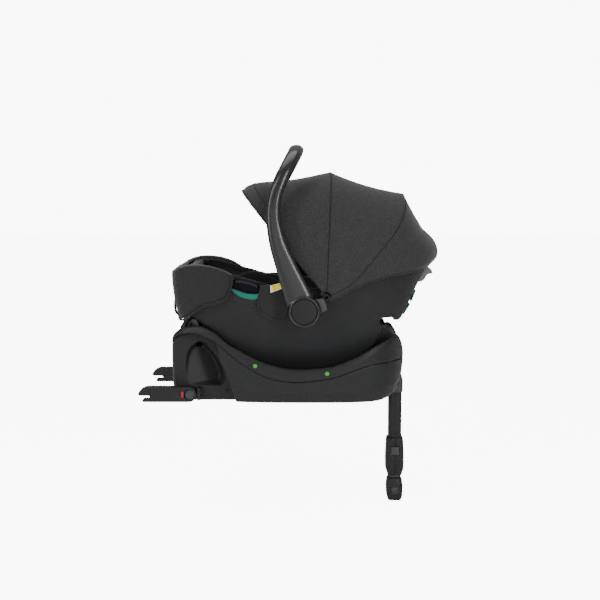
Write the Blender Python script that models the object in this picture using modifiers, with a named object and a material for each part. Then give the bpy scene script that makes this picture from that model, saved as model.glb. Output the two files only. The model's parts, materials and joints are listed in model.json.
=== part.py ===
"""Infant car seat docked in its base: carrier shell, canopy, carrying handle, anchor arms and load leg.

Metres, +Z up. X runs from the feet end (-X) to the head end (+X) and Y = 0 is the plane of symmetry. The
infant sits facing -X. The origin is on the base's flat underside, below the pivot of the anchor arms. Every
piece is one object with its origin on its joint's axis; cutters are kept in a collection of their own.
"""

import math

import bmesh
import bpy
import numpy as np
from mathutils import Matrix, Vector

for old in list(bpy.data.objects):
    bpy.data.objects.remove(old)

# ---- driving dimensions ---------------------------------------------------------------------------------
GAP = 0.0005  # between neighbouring pieces of one body
RUNNING = 0.0003  # round a pin or a sliding piece

# base
BASE_REAR = -0.044
BASE_FRONT = 0.520
BASE_REAR_FLANK = 0.123  # half-width of the narrow rear part, inside the anchor arms
CHANNEL_HALF = 0.034  # the load leg's stowing channel
CHANNEL_ROOF = 0.060
CHANNEL_END = 0.036
COVER_WALL = 0.004
TUNNEL_TOP = 0.068

RAIL_Y = 0.070  # steel rails inside the housing
RAIL_HALF = 0.010
RAIL_LOW, RAIL_HIGH = 0.009, 0.028
COVER_PLAY = 0.0003  # clearance of the small round bores
INDICATOR_R = 0.0050
INDICATORS = (("rear", 0.160), ("front", 0.330))  # x of each pair

# steel bars that the carrier's slots drop over: name, (x, z), half-length
DOCKING_BARS = (("rear", (0.068, 0.166), 0.112), ("front", (0.412, 0.111), 0.112))
BAR_LUGS = (0.098, 0.109)  # the lugs that hold each bar, as |y|
SLOT_HALF_SPAN = 0.116
BAR_R = 0.005

# load leg
LEG_PIVOT = (0.502, 0.029)  # x, z
LEG_X = 0.505
LEG_FOOT_Z = -0.277
LEG_PIN_R = 0.005
LEG_OUTER = (0.0165, 0.0200, 0.009)  # half-depth, half-width and corner of a section
LEG_OUTER_BORE = (0.0140, 0.0175, 0.007)
LEG_INNER = (0.0133, 0.0168, 0.0072)
LEG_INNER_BORE = (0.0113, 0.0148, 0.0055)
LEG_SLEEVE = (0.0168, 0.0203, 0.0093)  # clears the outer tube
LEG_SOCKET = (0.0136, 0.0171, 0.0075)  # clears the inner tube
LEG_OUTER_ENDS = (-0.144, 0.040)
LEG_INNER_ENDS = (-0.230, 0.014)
# z, half-depth, half-width, corner
BRACKET_LEVELS = [(0.000, 0.0190, 0.0230, 0.010), (0.031, 0.0190, 0.0230, 0.010),
                  (0.044, 0.0150, 0.0210, 0.009)]
CLAMP_LEVELS = [(-0.214, 0.0175, 0.0210, 0.010), (-0.209, 0.0190, 0.0225, 0.010),
                (-0.197, 0.0228, 0.0245, 0.011), (-0.169, 0.0232, 0.0250, 0.011),
                (-0.125, 0.0215, 0.0240, 0.010), (-0.117, 0.0200, 0.0230, 0.010)]
FOOT_LEVELS = [(-0.2730, 0.0180, 0.0265, 0.010), (-0.264, 0.0200, 0.0290, 0.011),
               (-0.239, 0.0205, 0.0290, 0.011), (-0.224, 0.0185, 0.0260, 0.010),
               (-0.2185, 0.0150, 0.0220, 0.010)]
SOLE_LEVELS = [(LEG_FOOT_Z, 0.0165, 0.0250, 0.009), (-0.2735, 0.0175, 0.0260, 0.010)]
LEG_BUTTON_Z = (-0.1602, -0.1383)
LEG_BUTTON_HALF = 0.0103

# anchor arms
ARM_PIVOT = (0.0, 0.0185)
ARM_Y = 0.1415  # middle of each arm
ARM_THICK = 0.026
ARM_R = 0.018
CROSS_TUBE_R = 0.008
ARM_TIP = -0.1215
ARM_BUTTON_R = 0.0118

# carrier
HUB = (0.276, 0.225)  # handle pivot
HUB_IN, HUB_OUT = 0.197, 0.221
HUB_R = 0.037
HUB_PIN_R = 0.010
CANOPY_PIVOT = (0.328, 0.256)
CANOPY_PIN_R = 0.0035
BOW_R = 0.0025
BOW_EYE_R = 0.0085
SHEET = 0.0016  # canopy cloth

SEAT_WALL = 0.007
FOAM_WALL = 0.014
PAD_WALL = 0.013
SLAB_HALF = 0.240  # half-width of a slab that spans the whole seat

SIDES = (("left", -1), ("right", 1))

# ---- driving lines --------------------------------------------------------------------------------------
# Side views as (x, z), read through a smooth curve; BASE_HALF_WIDTH is (x, half-width)
RIM_LINE = [(-0.044, 0.150), (-0.038, 0.161), (-0.033, 0.166), (-0.025, 0.173), (-0.017, 0.178),
            (-0.006, 0.181), (0.007, 0.183), (0.020, 0.184), (0.032, 0.183), (0.046, 0.178), (0.060, 0.171),
            (0.074, 0.161), (0.086, 0.150), (0.099, 0.140), (0.126, 0.126), (0.152, 0.112), (0.177, 0.101),
            (0.203, 0.093), (0.229, 0.087), (0.266, 0.084), (0.306, 0.086), (0.346, 0.092), (0.397, 0.111),
            (0.423, 0.125), (0.443, 0.136), (0.463, 0.145), (0.478, 0.152), (0.490, 0.160), (0.499, 0.160),
            (0.507, 0.151), (0.514, 0.136), (0.520, 0.112)]
SEAM_LINE = [(-0.044, 0.133), (-0.039, 0.144), (-0.030, 0.155), (-0.019, 0.161), (-0.006, 0.1645),
             (0.007, 0.1655), (0.020, 0.1645), (0.033, 0.160), (0.046, 0.155), (0.059, 0.149),
             (0.075, 0.139), (0.090, 0.125), (0.106, 0.112), (0.126, 0.097), (0.164, 0.074),
             (0.203, 0.060), (0.254, 0.053), (0.306, 0.057), (0.346, 0.064), (0.397, 0.081),
             (0.423, 0.089), (0.449, 0.094), (0.474, 0.096), (0.500, 0.097), (0.520, 0.096)]
TRAY_FLOOR = [(-0.044, 0.1375), (-0.038, 0.1480), (-0.034, 0.1540), (-0.026, 0.1600), (-0.017, 0.1650),
              (-0.006, 0.1675), (0.007, 0.1690), (0.020, 0.1695), (0.036, 0.166), (0.054, 0.157),
              (0.076, 0.142), (0.126, 0.106), (0.186, 0.076), (0.236, 0.060), (0.286, 0.054),
              (0.336, 0.060), (0.386, 0.078), (0.436, 0.106), (0.464, 0.126), (0.481, 0.143),
              (0.494, 0.151), (0.504, 0.145), (0.512, 0.131), (0.520, 0.100)]
BASE_HALF_WIDTH = [(-0.044, 0.104), (-0.038, 0.121), (-0.026, 0.133), (-0.006, 0.143), (0.026, 0.152),
                   (0.056, 0.161), (0.096, 0.170), (0.136, 0.177), (0.196, 0.183), (0.266, 0.185),
                   (0.356, 0.184), (0.416, 0.176), (0.461, 0.158), (0.491, 0.130), (0.511, 0.092),
                   (0.520, 0.060)]
# The base's underside, read as straight pieces
BASE_FOOT = [(-0.044, 0.034), (-0.036, 0.012), (-0.024, 0.0), (0.440, 0.0), (0.461, 0.002),
             (0.477, 0.007), (0.490, 0.014), (0.501, 0.025), (0.509, 0.037), (0.515, 0.052),
             (0.520, 0.075)]
# The carrier's outer rim, from the head end to the feet end
SEAT_RIM = [(0.576, 0.336), (0.536, 0.332), (0.486, 0.319), (0.436, 0.305), (0.386, 0.289),
            (0.336, 0.274), (0.286, 0.267), (0.216, 0.272), (0.156, 0.285), (0.106, 0.302),
            (0.056, 0.317), (0.011, 0.321), (-0.038, 0.311)]
ROCKER = [(-0.032, 0.291), (-0.026, 0.256), (-0.010, 0.220), (0.021, 0.196), (0.056, 0.170),
          (0.096, 0.137), (0.141, 0.107), (0.191, 0.083), (0.241, 0.069), (0.291, 0.064),
          (0.341, 0.070), (0.386, 0.088), (0.424, 0.115), (0.444, 0.136)]
# The shell's inside
CAVITY = [(-0.022, 0.296), (-0.017, 0.260), (0.002, 0.227), (0.029, 0.206), (0.062, 0.181),
          (0.102, 0.148), (0.146, 0.118), (0.191, 0.096), (0.236, 0.086), (0.291, 0.084),
          (0.341, 0.086), (0.386, 0.100), (0.416, 0.122), (0.440, 0.156), (0.452, 0.194), (0.470, 0.212),
          (0.498, 0.218), (0.532, 0.276), (0.556, 0.330)]
# The foam liner's inside, which is the seat's working surface
SEAT_SURFACE = [(0.000, 0.306), (0.010, 0.262), (0.046, 0.224), (0.106, 0.178), (0.171, 0.139),
                (0.231, 0.116), (0.276, 0.111), (0.321, 0.124), (0.381, 0.164), (0.441, 0.215),
                (0.491, 0.262), (0.532, 0.312), (0.541, 0.334)]
# The carrier's level sections: z, x at the feet end, x at the head end, half-width
SEAT_LEVELS = [(0.051, 0.046, 0.498, 0.108), (0.086, 0.024, 0.508, 0.127), (0.126, 0.006, 0.516, 0.142),
               (0.176, -0.012, 0.526, 0.155), (0.226, -0.027, 0.542, 0.165), (0.271, -0.034, 0.558, 0.171),
               (0.316, -0.037, 0.580, 0.175), (0.366, -0.038, 0.602, 0.176)]
FEET_ROUNDNESS = 4.4  # superellipse exponents: the feet end is squarer than the head end
HEAD_ROUNDNESS = 3.2

# The handle's centre line from the middle of the grip to the hub: x, half-span y, z, depth, thickness
HANDLE_LINE = [(0.257, 0.000, 0.6005, 0.036, 0.027), (0.257, 0.060, 0.6005, 0.036, 0.027),
               (0.256, 0.104, 0.5975, 0.036, 0.027), (0.250, 0.147, 0.5850, 0.035, 0.027),
               (0.236, 0.179, 0.5580, 0.034, 0.026), (0.221, 0.1955, 0.528, 0.033, 0.024),
               (0.208, 0.203, 0.491, 0.032, 0.022), (0.204, 0.2065, 0.443, 0.034, 0.021),
               (0.214, 0.208, 0.386, 0.040, 0.021), (0.231, 0.209, 0.337, 0.048, 0.021),
               (0.251, 0.209, 0.286, 0.058, 0.021), (0.265, 0.209, 0.252, 0.064, 0.021),
               (0.274, 0.209, 0.230, 0.066, 0.021)]

# Canopy bows: name, angle from upright about the pivot (towards the head), length, offset at the pivot
# the rear bow is bent: its angle from the vertical at each distance from the pivot
REAR_SWEEP = [(0.0, 66.0), (0.047, 64.5), (0.090, 58.0), (0.129, 52.6), (0.165, 49.8), (0.201, 47.9),
              (0.237, 45.6), (0.273, 42.6), (0.292, 40.0), (0.303, 37.8)]
BOWS = (("front", -35.0, 0.308, 0.1873), ("middle", 2.4, 0.283, 0.1818), ("rear", None, 0.290, 0.1763))
BOW_HALF = 0.174
BOW_CORNER = 0.092
# Edges of the cloth panels over the bows: angle, length; and their half-width at the foot
PANEL_EDGES = ((-39.0, 0.3185), (-35.0, 0.3204), (2.4, 0.291), (None, 0.303))
# folds of the canopy's back, from the rear bow to the hem: share of the way up from the hem, flare
BACK_FOLDS = ((0.50, 0.0198), (0.40, 0.0330), (0.24, 0.0355), (0.11, 0.0255))
PANEL_FOOT = 0.1915
PANEL_CORNER = 0.095
PANEL_HALF = 0.180
# The canopy's rear hem from the hub side to the middle of the back
HEM_LINE = [(0.334, 0.1910, 0.247), (0.354, 0.1905, 0.256), (0.376, 0.190, 0.269), (0.406, 0.1885, 0.284),
            (0.436, 0.185, 0.295), (0.471, 0.178, 0.304), (0.510, 0.165, 0.311), (0.541, 0.144, 0.316),
            (0.565, 0.112, 0.320), (0.581, 0.062, 0.324), (0.587, 0.0, 0.325)]


# ---- collections and small helpers ----------------------------------------------------------------------
def collection(name, cutters=False):
    made = bpy.data.collections.new(name)
    bpy.context.scene.collection.children.link(made)
    made.hide_render = cutters
    return made


PARTS = collection("infant_car_seat")
CUTTERS = collection("cutters", cutters=True)
MATERIALS = {}


def material(name, colour, roughness, metallic=0.0):
    made = bpy.data.materials.new(name)
    made.use_nodes = True
    shader = made.node_tree.nodes["Principled BSDF"]
    shader.inputs["Base Color"].default_value = (*colour, 1.0)
    shader.inputs["Roughness"].default_value = roughness
    shader.inputs["Metallic"].default_value = metallic
    MATERIALS[name] = made


material("black_plastic", (0.028, 0.028, 0.030), 0.45)
material("grey_plastic", (0.105, 0.105, 0.110), 0.5)
material("black_fabric", (0.030, 0.030, 0.031), 0.9)
material("canopy_fabric", (0.050, 0.050, 0.052), 0.95)
material("webbing", (0.020, 0.020, 0.022), 0.8)
material("green_plastic", (0.000, 0.300, 0.220), 0.45)
material("light_green_plastic", (0.120, 0.560, 0.110), 0.4)
material("navy_plastic", (0.010, 0.012, 0.025), 0.5)
material("red_plastic", (0.500, 0.020, 0.020), 0.4)
material("steel", (0.450, 0.450, 0.460), 0.3, 1.0)
material("dark_steel", (0.060, 0.060, 0.065), 0.4, 0.8)
material("rubber", (0.020, 0.020, 0.020), 0.85)
material("foam", (0.080, 0.080, 0.085), 0.9)


def add(name, mesh, look=None):
    """A part with its material, or a cutter where no material is given."""
    obj = bpy.data.objects.new(name, mesh)
    if look is None:
        CUTTERS.objects.link(obj)
        obj.hide_render = True
        obj.display_type = "WIRE"
    else:
        PARTS.objects.link(obj)
        mesh.materials.clear()
        mesh.materials.append(MATERIALS[look])
    return obj


def finish_bmesh(name, bm, look=None):
    bmesh.ops.recalc_face_normals(bm, faces=bm.faces)
    mesh = bpy.data.meshes.new(name)
    bm.to_mesh(mesh)
    bm.free()
    return add(name, mesh, look)


def curve_through(points, steps=3):
    """Points along a smooth curve through the given ones (Catmull-Rom), of any dimension."""
    p = np.array(points, float)
    p = np.vstack([2 * p[0] - p[1], p, 2 * p[-1] - p[-2]])
    made = []
    for a, b, c, d in zip(p, p[1:], p[2:], p[3:]):
        for k in range(steps):
            t = k / steps
            made.append(0.5 * (2 * b + (c - a) * t + (2 * a - 5 * b + 4 * c - d) * t * t
                               + (3 * b - a - 3 * c + d) * t ** 3))
    made.append(p[-2])
    return [tuple(float(v) for v in q) for q in made]


def height_on(line, x):
    """The second value of a line at x, read from its smooth curve."""
    smooth = np.array(sorted(curve_through(sorted(line), 4)))
    return float(np.interp(x, smooth[:, 0], smooth[:, 1]))


def offset(line, distance):
    """A smooth bowl-shaped line, feet end first, moved squarely towards its inside."""
    smooth = np.array(curve_through(line, 2))
    along = np.gradient(smooth, axis=0)
    along /= np.linalg.norm(along, axis=1)[:, None]
    moved = smooth + distance * np.column_stack([-along[:, 1], along[:, 0]])
    return [(float(x), float(z)) for x, z in moved]


def raised(line, by):
    return [(x, z + by) for x, z in line]


def between(line, low, high):
    """The points of a line with x from low to high."""
    return [p for p in line if low <= p[0] <= high]


def arc(cx, cz, r, start, end, steps):
    """Points on an arc, angles in degrees from +X towards +Z."""
    angles = np.radians(np.linspace(start, end, steps + 1))
    return [(cx + r * math.cos(a), cz + r * math.sin(a)) for a in angles]


def rounded_box_outline(x0, z0, x1, z1, r, steps=4):
    return (arc(x1 - r, z0 + r, r, -90, 0, steps) + arc(x1 - r, z1 - r, r, 0, 90, steps)
            + arc(x0 + r, z1 - r, r, 90, 180, steps) + arc(x0 + r, z0 + r, r, 180, 270, steps))


def curve_to_part(name, curve, look, place=Matrix()):
    """The mesh of a curve, welded and moved to its place."""
    source = bpy.data.objects.new(name, curve)
    bpy.context.scene.collection.objects.link(source)
    mesh = bpy.data.meshes.new_from_object(source.evaluated_get(bpy.context.evaluated_depsgraph_get()))
    bpy.data.objects.remove(source)
    bm = bmesh.new()
    bm.from_mesh(mesh)
    bmesh.ops.transform(bm, matrix=place, verts=bm.verts)
    bmesh.ops.remove_doubles(bm, verts=bm.verts, dist=0.00001)
    bpy.data.meshes.remove(mesh)
    return finish_bmesh(name, bm, look)


def plate(name, outline, y0, y1, look=None):
    """A side-view outline (x, z) made into a slab from y0 to y1, by way of a filled 2D curve."""
    curve = bpy.data.curves.new(name, "CURVE")
    curve.dimensions = "2D"
    curve.fill_mode = "BOTH"
    curve.extrude = abs(y1 - y0) / 2
    spline = curve.splines.new("POLY")
    spline.points.add(len(outline) - 1)
    for point, (x, z) in zip(spline.points, outline):
        point.co = (x, z, 0, 1)
    spline.use_cyclic_u = True
    upright = Matrix.Translation((0, (y0 + y1) / 2, 0)) @ Matrix.Rotation(math.pi / 2, 4, "X")
    return curve_to_part(name, curve, look, upright)


def cylinder(name, x, z, r, y0, y1, look=None, segments=24, r_end=None):
    """A round piece along Y."""
    bm = bmesh.new()
    bmesh.ops.create_cone(bm, cap_ends=True, segments=segments, radius1=r, radius2=r_end or r,
                          depth=abs(y1 - y0))
    middle = Matrix.Translation((x, (y0 + y1) / 2, z))
    turn = Matrix.Rotation(math.pi / 2 if y1 < y0 else -math.pi / 2, 4, "X")
    bmesh.ops.transform(bm, matrix=middle @ turn, verts=bm.verts)
    return finish_bmesh(name, bm, look)


def block(name, low, high, look=None, bevel=0.0, segments=2):
    bm = bmesh.new()
    low, high = Vector(low), Vector(high)
    bmesh.ops.create_cube(bm, size=1.0)
    bmesh.ops.scale(bm, vec=high - low, verts=bm.verts)
    bmesh.ops.translate(bm, vec=(low + high) / 2, verts=bm.verts)
    made = finish_bmesh(name, bm, look)
    if bevel:
        edge = made.modifiers.new("edges", "BEVEL")
        edge.width = bevel
        edge.segments = segments
    return made


def loft(name, rings, look=None, open_start=False):
    """A skin over rings of equal point count, capped at its ends."""
    bm = bmesh.new()
    made = [[bm.verts.new(p) for p in ring] for ring in rings]
    for a, b in zip(made, made[1:]):
        for i in range(len(a)):
            k = (i + 1) % len(a)
            bm.faces.new((a[i], a[k], b[k], b[i]))
    if not open_start:
        bm.faces.new(made[0])
    bm.faces.new(made[-1])
    return finish_bmesh(name, bm, look)


def rod(name, points, radius, look, resolution=1):
    """A round bar along points, as a mesh so that it can be joined to others."""
    curve = bpy.data.curves.new(name, "CURVE")
    curve.dimensions = "3D"
    curve.bevel_depth = radius
    curve.bevel_resolution = resolution
    curve.use_fill_caps = True
    spline = curve.splines.new("POLY")
    spline.points.add(len(points) - 1)
    for point, co in zip(spline.points, points):
        point.co = (*co, 1)
    return curve_to_part(name, curve, look)


def combine(target, operation, *others):
    for other in others:
        step = target.modifiers.new(f"{operation.lower()}_{other.name}"[:60], "BOOLEAN")
        step.operation = operation
        step.object = other
    return target


def cut(target, *others):
    return combine(target, "DIFFERENCE", *others)


def join(target, *others):
    return combine(target, "UNION", *others)


def side_box(name, side, low, high):
    """A cutter box on one side of the middle plane, its y given as distances from the plane."""
    y0, y1 = sorted((side * low[1], side * high[1]))
    return block(name, (low[0], y0, low[2]), (high[0], y1, high[2]))


def mirrored(points):
    """A half section given from its bottom to its top at +Y, closed with its mirror image."""
    return [*points, *[(-y, z) for y, z in reversed(points)]]


# ---- base -----------------------------------------------------------------------------------------------
def base_stations():
    """X positions along the base, closer together at its rounded ends."""
    ends = [BASE_REAR, -0.034, -0.026, -0.012]
    middle = list(np.linspace(0.008, 0.464, 17))
    front = [0.481, 0.494, 0.504, 0.512, BASE_FRONT]
    return ends + middle + front


def housing_ring(x):
    """The lower casing's section at x."""
    w = height_on(BASE_HALF_WIDTH, x)
    top = height_on(SEAM_LINE, x) - GAP
    low = float(np.interp(x, *zip(*BASE_FOOT)))
    edge = min(0.012, w / 4)
    half = [(w - 0.008 - edge, low), (w - 0.008 - edge * 0.3, low + edge * 0.3), (w - 0.008, low + edge),
            (w - 0.001, max(low + edge + 0.002, 0.75 * top)), (w, top)]
    return [(x, y, z) for y, z in mirrored(half)]


def side_hollow(side, s):
    """The empty space inside one side of the lower casing."""
    wall, floor, roof = 0.014, 0.005, 0.150
    rings = []
    for x in (0.132, 0.156, 0.196, 0.246, 0.296, 0.346, 0.396, 0.436, 0.470):
        w = height_on(BASE_HALF_WIDTH, x) - wall
        ring = [(0.040, floor), (w - 0.008, floor), (w, 0.020), (w + 0.006, roof), (0.040, roof)]
        rings.append([(x, s * y, z) for y, z in ring])
    return loft(f"cut_hollow_{side}", rings)


def base_lower_housing():
    """The lower casing: outer form, less the two hollow sides, the leg channel and the grip pockets."""
    housing = loft("base_lower_housing", [housing_ring(x) for x in base_stations()], "black_plastic")
    flank = [(-0.064, -0.010), (0.114, -0.010), (0.108, 0.020), (0.098, 0.048), (0.083, 0.085),
             (0.072, 0.116), (0.066, 0.200), (-0.064, 0.200)]
    pocket = curve_through([(0.022, 0.143), (0.004, 0.130), (-0.006, 0.110), (-0.009, 0.076),
                            (-0.003, 0.047), (0.008, 0.038), (0.072, 0.037), (0.083, 0.042),
                            (0.085, 0.060), (0.070, 0.098), (0.046, 0.130), (0.032, 0.142),
                            (0.022, 0.143)], 2)[:-1]
    for side, s in SIDES:
        cut(housing, plate(f"cut_flank_{side}", flank, s * BASE_REAR_FLANK, s * SLAB_HALF))
        cut(housing, plate(f"cut_pocket_{side}", pocket, s * 0.058, s * SLAB_HALF))
        cut(housing, side_hollow(side, s))
    cut(housing, plate("cut_light_gap", rounded_box_outline(0.014, 0.128, 0.027, 0.139, 0.003), -0.1, 0.1))
    channel = [(CHANNEL_END, -0.010), (0.540, -0.010), (0.540, CHANNEL_ROOF),
               (CHANNEL_END + 0.010, CHANNEL_ROOF), (CHANNEL_END, CHANNEL_ROOF - 0.010)]
    cut(housing, plate("cut_channel", channel, -CHANNEL_HALF, CHANNEL_HALF))
    under_tray = between(raised(curve_through(TRAY_FLOOR, 2), -COVER_WALL - 0.002), -0.034, 0.130)
    under_tray += [(under_tray[-1][0], 0.300), (under_tray[0][0], 0.300)]
    cut(housing, plate("cut_tray", under_tray, -0.118, 0.118))
    cut(housing, block("cut_spine", (0.124, -0.060, CHANNEL_ROOF + 0.003), (0.540, 0.060, 0.206)))
    x, z = LEG_PIVOT
    cheek = arc(x, z, 0.0115, -180, 0, 8) + [(x + 0.009, 0.055), (x - 0.020, 0.055)]
    for side, s in SIDES:
        join(housing, plate(f"join_cheek_{side}", cheek, s * 0.0352, s * 0.0465))
        guard = (0.0195, 0.1180, 0.004), (0.0290, 0.1545, 0.034)  # behind the arm's hinge
        join(housing, side_box(f"join_arm_guard_{side}", s, *guard))
    cut(housing, cylinder("cut_cross_tube", *ARM_PIVOT, CROSS_TUBE_R + RUNNING, -0.13, 0.13))
    cut(housing, cylinder("cut_leg_pin", *LEG_PIVOT, LEG_PIN_R + RUNNING, -0.048, 0.048))
    for side, s in SIDES:
        cut(housing, side_box(f"cut_rail_{side}", s, (-0.0145, RAIL_Y - RAIL_HALF - GAP, RAIL_LOW - GAP),
                              (0.136, RAIL_Y + RAIL_HALF + GAP, RAIL_HIGH + GAP)))


def base_upper_cover():
    """The cradle: side rims, a sunken floor each side and the raised tunnel over the leg channel."""
    rings = []
    t = COVER_WALL
    stations = base_stations()
    for x in stations:
        w = height_on(BASE_HALF_WIDTH, x)
        rim = height_on(RIM_LINE, x)
        seam = height_on(SEAM_LINE, x) + GAP
        floor = min(height_on(TRAY_FLOOR, x), rim - 0.009)
        tunnel = max(TUNNEL_TOP, floor)
        lip = min(0.016, w / 5)
        inner = w - lip - 0.006
        k = min(1.0, inner / 0.080)
        outer = [(0.042 * k, tunnel), (0.050 * k, floor), (inner - 0.016 * k, floor),
                 (inner - 0.004 * k, floor + 0.010 * k), (w - lip, rim - 0.008), (w - lip * 0.65, rim),
                 (w - lip * 0.25, rim - 0.002), (w, rim - 0.010), (w, seam)]
        under = [(w - t, seam), (w - t, rim - 0.0125), (w - lip * 0.6, rim - 0.0075), (inner, floor + 0.006),
                 (inner - 0.014 * k, floor - t), (0.048 * k, floor - t), (0.040 * k, tunnel - t)]
        if x < stations[2] or x > stations[-3]:
            under = [(y, seam) for y, z in under]
        rings.append([(x, y, z) for y, z in [*[(-y, z) for y, z in reversed(outer)], *outer, *under,
                                             *[(-y, z) for y, z in reversed(under)]]])
    loft("base_upper_cover", rings, "black_plastic")


def docking_arch():
    """The raised guard across the feet end of the cradle, open along its length."""
    cover = bpy.data.objects["base_upper_cover"]
    outer = [(-0.017, 0.166), (-0.016, 0.178), (-0.010, 0.190), (0.002, 0.1975), (0.014, 0.195),
             (0.021, 0.186), (0.0225, 0.166)]
    inner = [(-0.012, 0.171), (-0.011, 0.177), (-0.006, 0.186), (0.003, 0.1925), (0.011, 0.190),
             (0.0165, 0.183), (0.0175, 0.171)]
    join(cover, plate("join_arch", curve_through(outer, 2), -0.080, 0.080))
    cut(cover, plate("cut_arch", curve_through(inner, 2), -0.090, 0.090))


def base_inside():
    """The steel frame and the docking bars."""
    cover = bpy.data.objects["base_upper_cover"]
    for side, s in SIDES:
        rail = block(f"frame_rail_{side}", (-0.014, s * RAIL_Y - RAIL_HALF, RAIL_LOW),
                     (0.436, s * RAIL_Y + RAIL_HALF, RAIL_HIGH), "dark_steel")
        cut(rail, cylinder(f"cut_rail_bore_{side}", *ARM_PIVOT, CROSS_TUBE_R + RUNNING, s * 0.05, s * 0.09))
    cylinder("isofix_cross_tube", *ARM_PIVOT, CROSS_TUBE_R, -0.146, 0.146, "steel")
    for place, (x, z), half in DOCKING_BARS:
        cylinder(f"docking_bar_{place}", x, z, BAR_R, -half, half, "steel", segments=16)
        for side, s in SIDES:
            low = height_on(TRAY_FLOOR, x) - COVER_WALL / 2
            join(cover, side_box(f"join_lug_{place}_{side}", s, (x - 0.0055, BAR_LUGS[0], low),
                                 (x + 0.0055, BAR_LUGS[1], z - 0.0015)))
        cut(cover, cylinder(f"cut_bar_{place}", x, z, BAR_R + COVER_PLAY, -half - GAP, half + GAP))


def base_indicators():
    """Two round locking indicators on each side rim."""
    cover = bpy.data.objects["base_upper_cover"]
    for place, x in INDICATORS:
        z = (height_on(RIM_LINE, x) + height_on(SEAM_LINE, x)) / 2
        w = height_on(BASE_HALF_WIDTH, x)
        for side, s in SIDES:
            cylinder(f"indicator_{place}_{side}", x, z, INDICATOR_R, s * (w - 0.006), s * (w + 0.0012),
                     "light_green_plastic", segments=16)
            cut(cover, cylinder(f"cut_indicator_{place}_{side}", x, z, INDICATOR_R + COVER_PLAY,
                                s * (w - 0.012), s * (w + 0.010), segments=16))


# ---- load leg -------------------------------------------------------------------------------------------
def tube_ring(half_x, half_y, z, r=0.009, steps=3):
    outline = rounded_box_outline(-half_x, -half_y, half_x, half_y, r, steps)
    return [(LEG_X + x, y, z) for x, y in outline]


def leg_section(name, levels, look=None):
    """A piece of rounded rectangular section: levels are (z, half-depth x, half-width y, corner)."""
    return loft(name, [tube_ring(hx, hy, z, r) for z, hx, hy, r in levels], look)


def leg_length(name, low, high, section, look=None):
    """A straight length of one section, from low to high."""
    return leg_section(name, [(low, *section), (high, *section)], look)


def leg_tubes():
    """The two telescoping tubes, the pivot pin and the bracket round the top."""
    low, high = LEG_OUTER_ENDS
    outer = leg_length("leg_outer_tube", low, high, LEG_OUTER, "black_plastic")
    cut(outer, leg_length("cut_outer_bore", low - 0.010, 0.017, LEG_OUTER_BORE))
    cut(outer, cylinder("cut_outer_pin", *LEG_PIVOT, LEG_PIN_R + RUNNING, -0.03, 0.03))
    cylinder("leg_pivot_pin", *LEG_PIVOT, LEG_PIN_R, -0.046, 0.046, "steel", segments=20)
    bracket = leg_section("leg_top_bracket", BRACKET_LEVELS, "grey_plastic")
    cut(bracket, leg_length("cut_bracket", -0.010, high + RUNNING, LEG_SLEEVE))
    cut(bracket, cylinder("cut_bracket_pin", *LEG_PIVOT, LEG_PIN_R + 0.0015, -0.03, 0.03))
    low, high = LEG_INNER_ENDS
    inner = leg_length("leg_inner_tube", low, high, LEG_INNER, "dark_steel")
    cut(inner, leg_length("cut_inner_bore", low + 0.020, high + 0.016, LEG_INNER_BORE))


def leg_clamp():
    """The height clamp, in two halves, and its two square buttons."""
    z0, z1 = LEG_BUTTON_Z
    for half, s in (("rear", -1), ("front", 1)):
        clamp = leg_section(f"leg_clamp_{half}_half", CLAMP_LEVELS, "black_plastic")
        near, far = sorted((LEG_X + s * GAP / 2, LEG_X + s * 0.050))
        combine(clamp, "INTERSECT", block(f"keep_clamp_{half}", (near, -0.05, -0.24), (far, 0.05, -0.10)))
        cut(clamp, leg_length(f"cut_clamp_sleeve_{half}", LEG_OUTER_ENDS[0] - GAP, -0.104, LEG_SLEEVE))
        cut(clamp, leg_length(f"cut_clamp_bore_{half}", -0.224, -0.134, LEG_SOCKET))
        for side, t in SIDES:
            reach = LEG_BUTTON_HALF + COVER_PLAY
            cut(clamp, side_box(f"cut_clamp_{half}_{side}", t, (LEG_X - reach, 0.0215, z0 - COVER_PLAY),
                                (LEG_X + reach, 0.035, z1 + COVER_PLAY)))
    for side, t in SIDES:
        y0, y1 = sorted((t * 0.0232, t * 0.0272))
        block(f"leg_button_{side}", (LEG_X - LEG_BUTTON_HALF, y0, z0), (LEG_X + LEG_BUTTON_HALF, y1, z1),
              "grey_plastic", bevel=0.0015, segments=1)


def leg_foot():
    foot = leg_section("leg_foot", FOOT_LEVELS, "black_plastic")
    cut(foot, leg_length("cut_foot_socket", LEG_INNER_ENDS[0] - GAP, -0.204, LEG_SOCKET))
    leg_section("foot_sole", SOLE_LEVELS, "rubber")


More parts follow.
